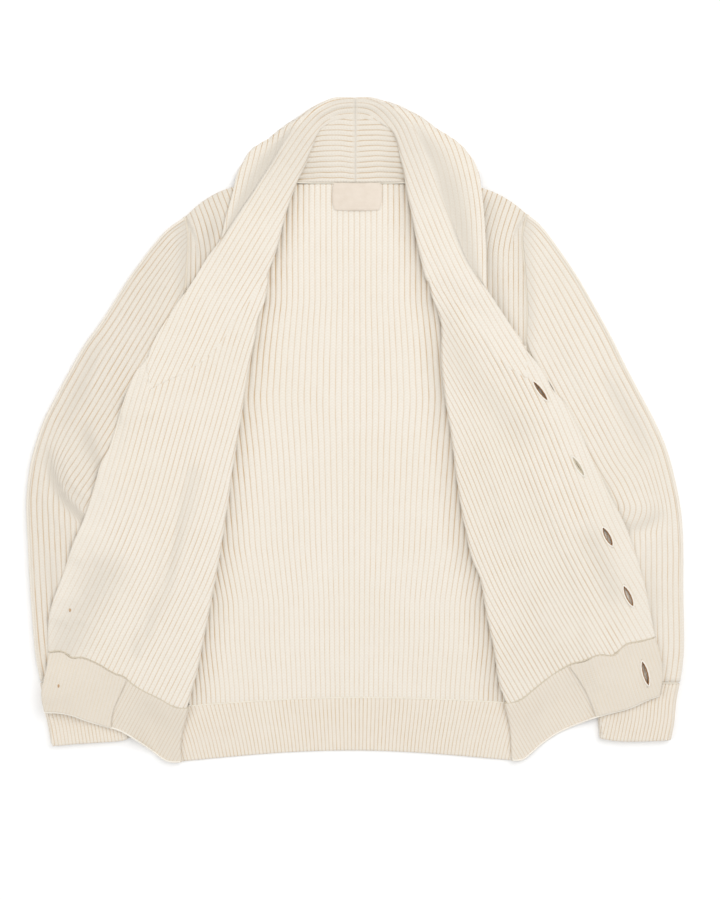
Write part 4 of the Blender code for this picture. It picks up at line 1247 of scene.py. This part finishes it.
collarSettings = {
    "pitch": 6.2,        # rib spacing of the lapel
    "standPitch": 6.3,
    "standHalf": 62.0,   # from the centre back to where the stand turns forwards
    "standTop": 395.5,   # where its ribs are counted from
    "standShade": {"left": 0.3, "right": 0.45},   # how much painted shade it has towards its ends
    "standOut": 16.0,    # how far its upper edge reaches under the roll, sideways and up
    "standUp": (6.0, 4.0),
    "standFoot": (90.0, 295.0),
    "neckSeam": ((-92, 294.6), (-40, 294.4), (0, 294.3), (40, 294.4), (78, 294.6)),
    "fallPitch": 6.0,
    "hollow": {"left": 0.95, "right": 0.8},   # how much painted shade lies in the hollow beside the fall
    "neckShade": 0.42,   # how much painted shade the roll behind the neck has
    "neckLift": 4.6,     # height of the roll behind the neck over the floor
    "centreLow": 5.45,   # the same at the top of the stand, in the middle
    "rollLift": 4.2,     # how far the lapel rises where the fall hangs from it
    "fallLift": 0.9,
    "ridgeDrop": 4.4,    # how far its inner edge turns down
    "footLap": 2.2,      # how far the collar's foot laps over the front
    "inset": 4.0,        # from the shown inner edge to where the cloth starts to roll
    # ridge, roll and free line from the centre back to the collar's foot, in pattern squares
    "left": ((355.2, 119.5, 355.2, 99.8, 355.2, 96), (338, 120.2, 337, 101.5, 336, 98),
             (324, 127, 319, 111.5, 316, 108.5), (319, 136, 306, 121, 299, 119.5),
             (313, 148, 294, 132, 280, 129.5), (307.5, 161.5, 283, 147, 264, 140.5),
             (301, 175, 273, 164, 250, 149), (295, 189, 262.5, 181, 241.5, 164),
             (290, 203, 253, 196, 237, 180), (285, 219, 243, 210, 233, 196),
             (281, 235, 234, 223, 227.5, 214), (277, 250, 226, 235, 223.5, 233),
             (272, 264, 218, 246, 217, 247), (266, 280, 208, 259, 207, 260),
             (254, 296, 198.5, 275, 197.5, 276), (242.7, 311, 188, 291, 187, 292),
             (230, 329, 178, 305, 177, 306), (217, 348, 168.5, 319.5, 167.5, 320.5),
             (202, 362, 161, 331, 160, 332), (189, 370, 156.5, 339.5, 155.5, 340.5),
             (176, 377, 153, 347, 152, 348), (163, 383, 151, 353, 150, 354),
             (153, 388, 149.8, 359, 149, 359.6)),
    "right": ((355.4, 119.5, 355.4, 99.8, 355.4, 96), (371.5, 120.4, 372, 100.3, 373.5, 97),
              (381.5, 124.5, 387.5, 106.5, 392, 104.5), (390, 132, 400.5, 116, 408, 113),
              (395.5, 143, 411, 128, 425, 120.5), (399.5, 158, 421, 145.5, 441, 130),
              (403, 171, 429, 164, 457.5, 140.5), (406.6, 193, 435, 182.5, 470, 153.5),
              (411, 213, 442, 205, 478, 172), (415.5, 238, 449, 222, 481, 192),
              (420, 258, 456.5, 243, 483.5, 217), (425, 278, 464, 260, 485, 245),
              (428.5, 280, 474, 275, 485.7, 271), (441, 291, 484, 288, 487, 291),
              (453.5, 302, 492, 299, 492.6, 299.6), (463, 312, 500, 311, 500.6, 311.6),
              (472, 322, 506.5, 320.5, 507, 321), (482, 336, 512, 328.5, 512.5, 329),
              (493, 352, 516, 334, 516.5, 334.6), (502, 361.5, 519, 338.5, 519.5, 339),
              (510, 368.5, 521, 342, 521.5, 342.6), (518, 373.5, 522.4, 345, 522.9, 345.6),
              (525, 377.6, 523.6, 347.4, 524, 348)),
    "seamRow": {"left": 13, "right": 12},   # row from which the ridge is the lapel seam
    "fallRows": {"left": (3, 11), "right": (3, 13)},   # rows between which the fall shows
    # line that the ribs of the lapel follow, in squares
    "guide": {
        "left": ((355.2, 101.5), (345, 101.8), (335, 103.6), (325, 108), (314.6, 115), (301, 130),
                 (286.5, 151), (271, 175), (256, 200), (231, 242), (202, 292), (181, 337), (161, 381),
                 (142, 424)),
        "right": ((355.4, 101.5), (364, 101.8), (373, 104), (381, 108.8), (389, 116.5), (399, 130.5),
                  (408, 152), (416, 172), (424.5, 194), (433.5, 216), (448, 250), (468, 290), (491, 329),
                  (512, 364)),
    },
    # line that the ribs of the fall follow
    "fallGuide": {
        "left": ((254, 128), (250, 143), (246.5, 157), (243, 172), (240, 187), (237, 203), (235, 220),
                 (234, 240), (234, 262), (232, 290)),
        "right": ((446, 118), (452, 132), (459, 148), (464, 164), (468, 182), (471, 200), (473, 220),
                  (474, 240), (474.5, 262), (474, 290), (472, 320)),
    },
    "ribbing": {"left": 0.75, "right": 0.65},
}


def centreSeam(points):
    # the seam that joins the two halves of the collar: a shallow crease, with painted shade in it
    return 0.9 * np.exp(-(points[..., 0] / 1.4) ** 2)


def collarRows(name, count):
    table = rowsThrough(collarSettings[name], count)
    return squares(table[:, 0:2]), squares(table[:, 2:4]), squares(table[:, 4:6])


def makeCollar():
    thick = clothSettings["thick"]
    radius = clothSettings["rimRadius"]
    count = clothSettings["rollSegments"]
    rows = 67            # three to each row of the table
    standColumns = 22
    lapelColumns = 14    # of these and the fall's, across the collar
    fallShares = np.array([0.1, 0.26, 0.42, 0.58, 0.74, 0.88, 1.0])
    columns = lapelColumns + len(fallShares)

    # stand, up from the neck seam, each half to its own side
    for name, sign in sides:
        ridge = collarRows(name, rows)[0][:standColumns]
        outwards = smoothStep(np.arange(standColumns), 3, 10)
        ridge[:, 0] += sign * collarSettings["standOut"] * outwards
        ridge[:, 1] += collarSettings["standUp"][0] + collarSettings["standUp"][1] * outwards
        ridge[0, 0] = sign * 0.1
        footOut, footUp = collarSettings["standFoot"]
        foot = np.column_stack([sign * np.linspace(0.1, footOut, standColumns),
                                np.full(standColumns, footUp)])
        plan = between(foot, ridge, 12)
        low = 0.6 + collarSettings["neckLift"] * smoothStep(plan[..., 1], 294, 330)
        onFronts = laid(plan, 4.0, 3) * (np.abs(plan[..., 0]) > 60)
        low = np.maximum(low, np.where(plan[..., 1] < 300, 0.6, onFronts))
        top = withHeight(plan, low + thick)
        out = np.abs(plan[..., 0]) / collarSettings["standHalf"]
        wave = 0.25 * np.sin(plan[..., 0] / 7 + plan[..., 1] / 11) + 0.2 * np.sin(plan[..., 0] / 3.6)
        arch = (2.0 + 13.0 * smoothStep(plan[..., 1], 310, 385) ** 2) * np.maximum(out - 0.35, 0) ** 2 / 0.42
        arch = arch + 1.6 * np.exp(-(out / 0.2) ** 2)
        ribs = (collarSettings["standTop"] - plan[..., 1] - arch + wave) / collarSettings["standPitch"]
        shown = [np.swapaxes(grid, 0, 1)[::-1] for grid in (top, withHeight(plan, low), ribs, plan[..., 0])]
        near = np.abs(shown[3]) / collarSettings["standHalf"]
        # browner grooves and painted shade towards the lapels
        strong = 1.15 + 0.35 * smoothStep(near, 0.45, 1.0)
        dim = 0.3 + collarSettings["standShade"][name] * smoothStep(near, 0.35, 1.0)
        knit("collarStand_" + name, *shown, ribWool, "wool_rib", ["collar_" + name], "folded",
             ["backPanel"], top, alongStep=0.9, acrossStep=4.0, rims=(radius, 0.9, 0, radius), shade=dim,
             strength=strong, carve=centreSeam)
        pile.cover(top)
    seamCord("neckSeam", collarSettings["neckSeam"], 0.8, 0.9, seamThread)

    index, across = np.arange(rows), np.arange(columns)
    before = pile.height.copy()
    tops = []
    for name, sign in sides:
        pile.height = before.copy()
        own = ofSide(collarSettings, name)
        ridge, roll, free = collarRows(name, rows)
        seamRow = 3 * own["seamRow"]
        lapel = squares(frontSettings["lapel"][name])
        ridge[:seamRow, 0] += sign * collarSettings["inset"] * smoothStep(index[:seamRow], 3, 9)
        ridge[seamRow:] = curve(lapel, rows - seamRow) + [sign * 0.15, 0.3]
        for line in (ridge, roll, free):
            line[0, 0] = sign * 0.1
        onFloor = 1 - smoothStep(index, 20, 27)
        free = free - unit(free - roll) * (1.2 + 2.4 * onFloor)[:, None]
        # the last row lies along the front's own edge
        corner = squares(frontSettings["edge"][name])[-1]
        roll[-1] = ridge[-1] + (corner - ridge[-1]) * 0.9
        free[-1] = corner
        footWay = unit(corner - ridge[-1])
        beyond = np.array([footWay[1], -footWay[0]]) * sign * collarSettings["footLap"]
        for line in (ridge, roll, free):
            line[-1] += beyond
        lapelPart = ridge[:, None] + (roll - ridge)[:, None] * np.linspace(0, 1, lapelColumns)[None, :, None]
        fallPart = roll[:, None] + (free - roll)[:, None] * fallShares[None, :, None]
        plan = np.concatenate([lapelPart, fallPart], axis=1)
        footShares = np.linalg.norm(plan[-1] - plan[-1, 0], axis=1)
        footShares /= footShares[-1]
        low = draped(plan, 10.0, 6)

        firstRow, lastRow = (3 * row for row in own["fallRows"])
        fading = 1 - smoothStep(index, lastRow, lastRow + 10)
        over = smoothStep(index, firstRow + 6, firstRow + 28) * fading
        shown = smoothStep(index, firstRow, firstRow + 7) * fading
        edgeDrop = smoothStep(index, firstRow, firstRow + 18)
        lift = np.zeros(plan.shape[:2])
        lift[:, :lapelColumns] = (collarSettings["rollLift"] * over)[:, None]
        lift[:, lapelColumns - 1] *= 1 - 0.4 * edgeDrop
        puff = np.sin(np.linspace(0, 1, len(fallShares)) ** 0.8 * math.pi)
        lift[:, lapelColumns:] = (collarSettings["fallLift"] * over)[:, None] * puff[None]
        # over the bare floor the hidden layers carry the roll
        bare = 1 - smoothStep(index, 12, 24)
        carry = np.sin(np.linspace(0.12, 1.0, columns) * math.pi).clip(0) ** 0.5
        low = np.maximum(low, bare[:, None] * carry[None] * collarSettings["neckLift"] + 0.6)
        low += lift
        sunk = (1 - smoothStep(index, 3, 12))[:, None] * (1 - smoothStep(across, 3, 11))[None]
        low = low * (1 - sunk) + collarSettings["centreLow"] * sunk
        # at their seam the lapel and the front are equally high
        shares = np.linspace(0, 1, rows - seamRow)
        seamLow, footLow = turned[name][-1, :-footColumns], turned[name][-1, -footColumns - 1:]
        wanted = np.interp(shares, np.linspace(0, 1, len(seamLow)), seamLow)
        difference = np.empty(rows)
        difference[seamRow:] = wanted - low[seamRow:, 0]
        difference[:seamRow] = difference[seamRow] * smoothStep(index[:seamRow], seamRow - 12, seamRow)
        low += difference[:, None] * (1 - smoothStep(across, 0, 9))[None]
        ending = smoothStep(index, rows - 8, rows - 1)[:, None]
        lastLine = np.interp(footShares, np.linspace(0, 1, footColumns + 1), footLow)[None]
        low = low * (1 - ending) + (lastLine + 0.35) * ending
        # its free edge comes down on the sleeve
        freeEnd = smoothStep(index, lastRow, lastRow + 10)[:, None] * smoothStep(across, 7, 17)[None]
        freeEnd = freeEnd * (1 - ending)
        low = low * (1 - freeEnd) + (laid(plan, 4.0, 4) - clothSettings["clearance"]) * freeEnd
        top = withHeight(plan, low + thick)

        guide = squares(own["guide"])
        distance, along = nearLine(plan, guide, 60)
        ribs = -sign * distance / collarSettings["pitch"] + 0.5
        fallRibs = nearLine(plan, squares(own["fallGuide"]), 60)[0]
        fallRibs = -sign * fallRibs / collarSettings["fallPitch"] + 0.5
        fallRibs += np.round((ribs - fallRibs)[firstRow + 3, lapelColumns + 1:].mean())
        known = smoothStep(index, firstRow, firstRow + 7)[:, None]
        fallRibs = fallRibs * known + ribs * (1 - known)
        # ribs that fade, under painted shade, in the hollow between lapel and fall
        paintedShade = np.zeros(plan.shape[:2])
        hollow = np.array([0.35, 0.9, 1.0, 0.8, 0.4, 0.1, 0.0, 0.0])
        paintedShade[:, lapelColumns - 1:] = own["hollow"] * hollow[None] * shown[:, None]
        # painted shade on the roll behind the neck, greyer than on the lapels
        onRoll = paintedShade[:, :lapelColumns]
        onRoll[:] = np.maximum(onRoll, collarSettings["neckShade"] * (1 - smoothStep(index, 12, 30))[:, None])
        flat = smoothStep(index, seamRow + 1, seamRow + 5)
        opened = smoothStep(index, 4, 16)
        base = top[:, 0, 2] - thick - collarSettings["ridgeDrop"] * opened * (1 - flat)
        outer, inner = rolled(top, withHeight(plan, low), base)
        below = top[:, -1, 2] - thick - (low[:, -1] - 0.4) * onFloor
        back = rolled(top[:, ::-1], withHeight(plan, low)[:, ::-1], below)
        outer = np.concatenate([outer, back[0][:, :count][:, ::-1]], axis=1)
        inner = np.concatenate([inner, back[1][:, :count][:, ::-1]], axis=1)

        def wide(values):
            values = carried(values, outer[:, :-count], count)
            return carried(values[:, ::-1], outer[:, ::-1], count, 0.13)[:, ::-1]

        along, paintedShade = widened(along, count, count), widened(paintedShade, count, count)
        lapelEnd = count + lapelColumns
        hollowness = np.where(np.arange(paintedShade.shape[1]) >= lapelEnd - 1, paintedShade, 0)
        strength = np.full(paintedShade.shape, own["ribbing"])
        strength[:, lapelEnd + 1:] = 0.9
        strength *= 1 + 0.3 * (1 - smoothStep(index, 8, 22))[:, None]
        # the ribs lie flatter along the free edge of the lapel
        calm = smoothStep(np.arange(paintedShade.shape[1]), count + 8, count + 17)[None]
        strength *= 1 - 0.55 * calm * smoothStep(index, lastRow, lastRow + 8)[:, None]
        strength = strength * (1 - 0.7 * hollowness)
        knit("collarLapel_" + name, outer, inner, wide(ribs), along, ribWool, "wool_rib",
             ["collar_" + name], "folded", ["collarStand_" + name, "underFront_" + name],
             rims=(0, radius, 0.6, 0.6), shade=paintedShade, strength=strength,
             after=(wide(fallRibs), lapelEnd - 0.4), carve=centreSeam)
        tops.append(top)
    for top in tops:
        pile.cover(top)


makeBack()
makeLabel()
makeUnders()
makeSleeves()
print("sleeves done")

# buttons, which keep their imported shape

for number in range(1, 6):
    node = frame["nodes"]["button_%d" % number]
    node.data.materials.clear()
    node.data.materials.append(horn)
    low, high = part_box("button_%d" % number)
    square = np.array([[(x / mm, y / mm) for x in (low[0], high[0])] for y in (low[1], high[1])])
    pile.cover(withHeight(square, np.full((2, 2), high[2] / mm)))

makeTurned()
print("fronts done")
makeFrontHems()
makeCollar()
print("collar done")

# buttonholes through the viewer's right front, each with its worked rim

holeSettings = {
    # out, up, length, lean from upright in degrees, opening at the middle
    "places": ((221, 45, 29, 37, 5.6), (266, -45, 27, 32, 5.4), (301, -129, 25, 28, 7.2),
               (326, -200, 27, 25, 7.0), (346, -292, 30, 15, 6.8)),
    "rim": 0.9,
    "shut": 2,
    # radius of the cord inside each slit and how far it lies below the rim; the brown ones are painted shade
    # deep in the slits
    "innerCord": (1.0, 1.5, 1.0, 1.0, 1.0),
    "innerCordDrop": (1.5, 2.1, 1.5, 1.5, 1.5),
    "cutBelow": 6.0,
    "cutHeight": 14.0,
}


def lips(place, grow, count):
    out, up, length, lean, width = place
    angle = math.radians(lean)
    alongWay = np.array([math.sin(angle), -math.cos(angle)])
    acrossWay = np.array([-alongWay[1], alongWay[0]])
    turn = np.linspace(0, 2 * math.pi, count, endpoint=False)
    run, rise = np.cos(turn), np.sin(turn)
    return (np.array([out, up]) + alongWay * (run * (length / 2 + grow))[:, None]
            + acrossWay * (np.sign(rise) * np.abs(rise) ** 1.3 * (width / 2 + grow))[:, None])


def makeHoles():
    bpy.context.view_layer.update()
    table = zip(*(holeSettings[key] for key in ("places", "innerCord", "innerCordDrop")))
    for number, (place, radius, drop) in enumerate(table, 1):
        onHem = number == len(holeSettings["places"])
        holders = ["frontHemRibbing_right", "hemFacingStrip_right"] if onHem else ["turnedFront_right"]
        cover = bpy.data.objects[holders[-1]]
        outline = lips(place, holeSettings["rim"] * 0.6, 40)
        heights = np.array([rayDown(cover, point) for point in outline])
        heights = np.maximum(heights, np.median(heights) - 1.0)
        bead("buttonholeRim_%d" % number, np.column_stack([outline, heights + 0.4]), holeSettings["rim"],
             holeThread, 0.16)
        inside = np.column_stack([lips(place, -0.7 * radius, 40), heights - drop])
        # brown cords are painted shade in the slit; the shut slit gets a pale one
        thread = hemThread if number == holeSettings["shut"] else slitShadeThread
        bead("buttonholeLining_%d" % number, inside, radius, thread, 0.16)
        shape = lips(place, 0.0, 24)
        bm = bmesh.new()
        base = bm.faces.new([bm.verts.new((*(point * mm), 0.0)) for point in shape])
        raised = extruded(bm, [base])
        middle = float(np.median(heights))
        bmesh.ops.translate(bm, verts=bm.verts, vec=(0, 0, (middle - holeSettings["cutBelow"]) * mm))
        bmesh.ops.translate(bm, verts=raised, vec=(0, 0, holeSettings["cutHeight"] * mm))
        bmesh.ops.recalc_face_normals(bm, faces=bm.faces)
        cutter = meshObject("holeCutter", bm)
        for holder in holders:
            obj = bpy.data.objects[holder]
            cut = obj.modifiers.new("hole", "BOOLEAN")
            cut.object = cutter
            cut.solver = "MANIFOLD"
            made = evaluated(obj)
            obj.modifiers.clear()
            obj.data = made
        bpy.data.objects.remove(cutter)


makeHoles()
print("buttonholes done")

# ends of the thread that holds the buttons, on the viewer's left front and its facing

knotSettings = {"places": ((72, 609), (61, 684)), "radius": 0.5}


def makeKnots():
    bpy.context.view_layer.update()
    holders = ("turnedFront_left", "hemFacingStrip_left")
    for number, (holder, (out, up)) in enumerate(zip(holders, squares(knotSettings["places"])), 1):
        height = rayDown(bpy.data.objects[holder], (out, up))
        turn = np.linspace(0, 2 * math.pi, 10)[:, None]
        loop = np.hstack([out + 0.7 * np.cos(turn), up + 1.7 * np.sin(turn), height + 0.3 + 0 * turn])
        bead("buttonThread_%d" % number, loop, knotSettings["radius"], knotThread, 0.2)


makeKnots()

# floor, lights and camera

def makeStage():
    bm = bmesh.new()
    bmesh.ops.create_grid(bm, x_segments=1, y_segments=1, size=4.0)
    bmesh.ops.translate(bm, verts=bm.verts, vec=(0, 0, -0.0003))
    floor = meshObject("paleFloor", bm)
    paint = startMaterial("mattWhitePaint", {"Base Color": hexColor("FFFFFF"), "Roughness": 0.9})[0]
    floor.data.materials.append(paint)

    world = bpy.data.worlds.new("studioSky")
    world.use_nodes = True
    sky = world.node_tree.nodes["Background"].inputs
    sky[0].default_value = (1, 1, 1, 1)
    sky[1].default_value = viewSettings["skyStrength"]
    bpy.context.scene.world = world

    for name, (place, size, power) in viewSettings["lights"].items():
        data = bpy.data.lights.new(name, "AREA")
        data.size = size
        data.energy = power
        lamp = linked(name, data)
        lamp.location = place
        x, y, z = place
        lamp.rotation_euler = (math.atan2(math.hypot(x, y), z), 0, math.atan2(x, -y))

    data = bpy.data.cameras.new("overheadCamera")
    data.lens = viewSettings["lens"]
    data.sensor_width = 36.0
    data.clip_end = 20.0
    camera = linked("overheadCamera", data)
    camera.location = (*viewSettings["centre"], viewSettings["height"])
    bpy.context.scene.camera = camera
    bpy.context.scene.view_settings.view_transform = "Standard"


makeStage()
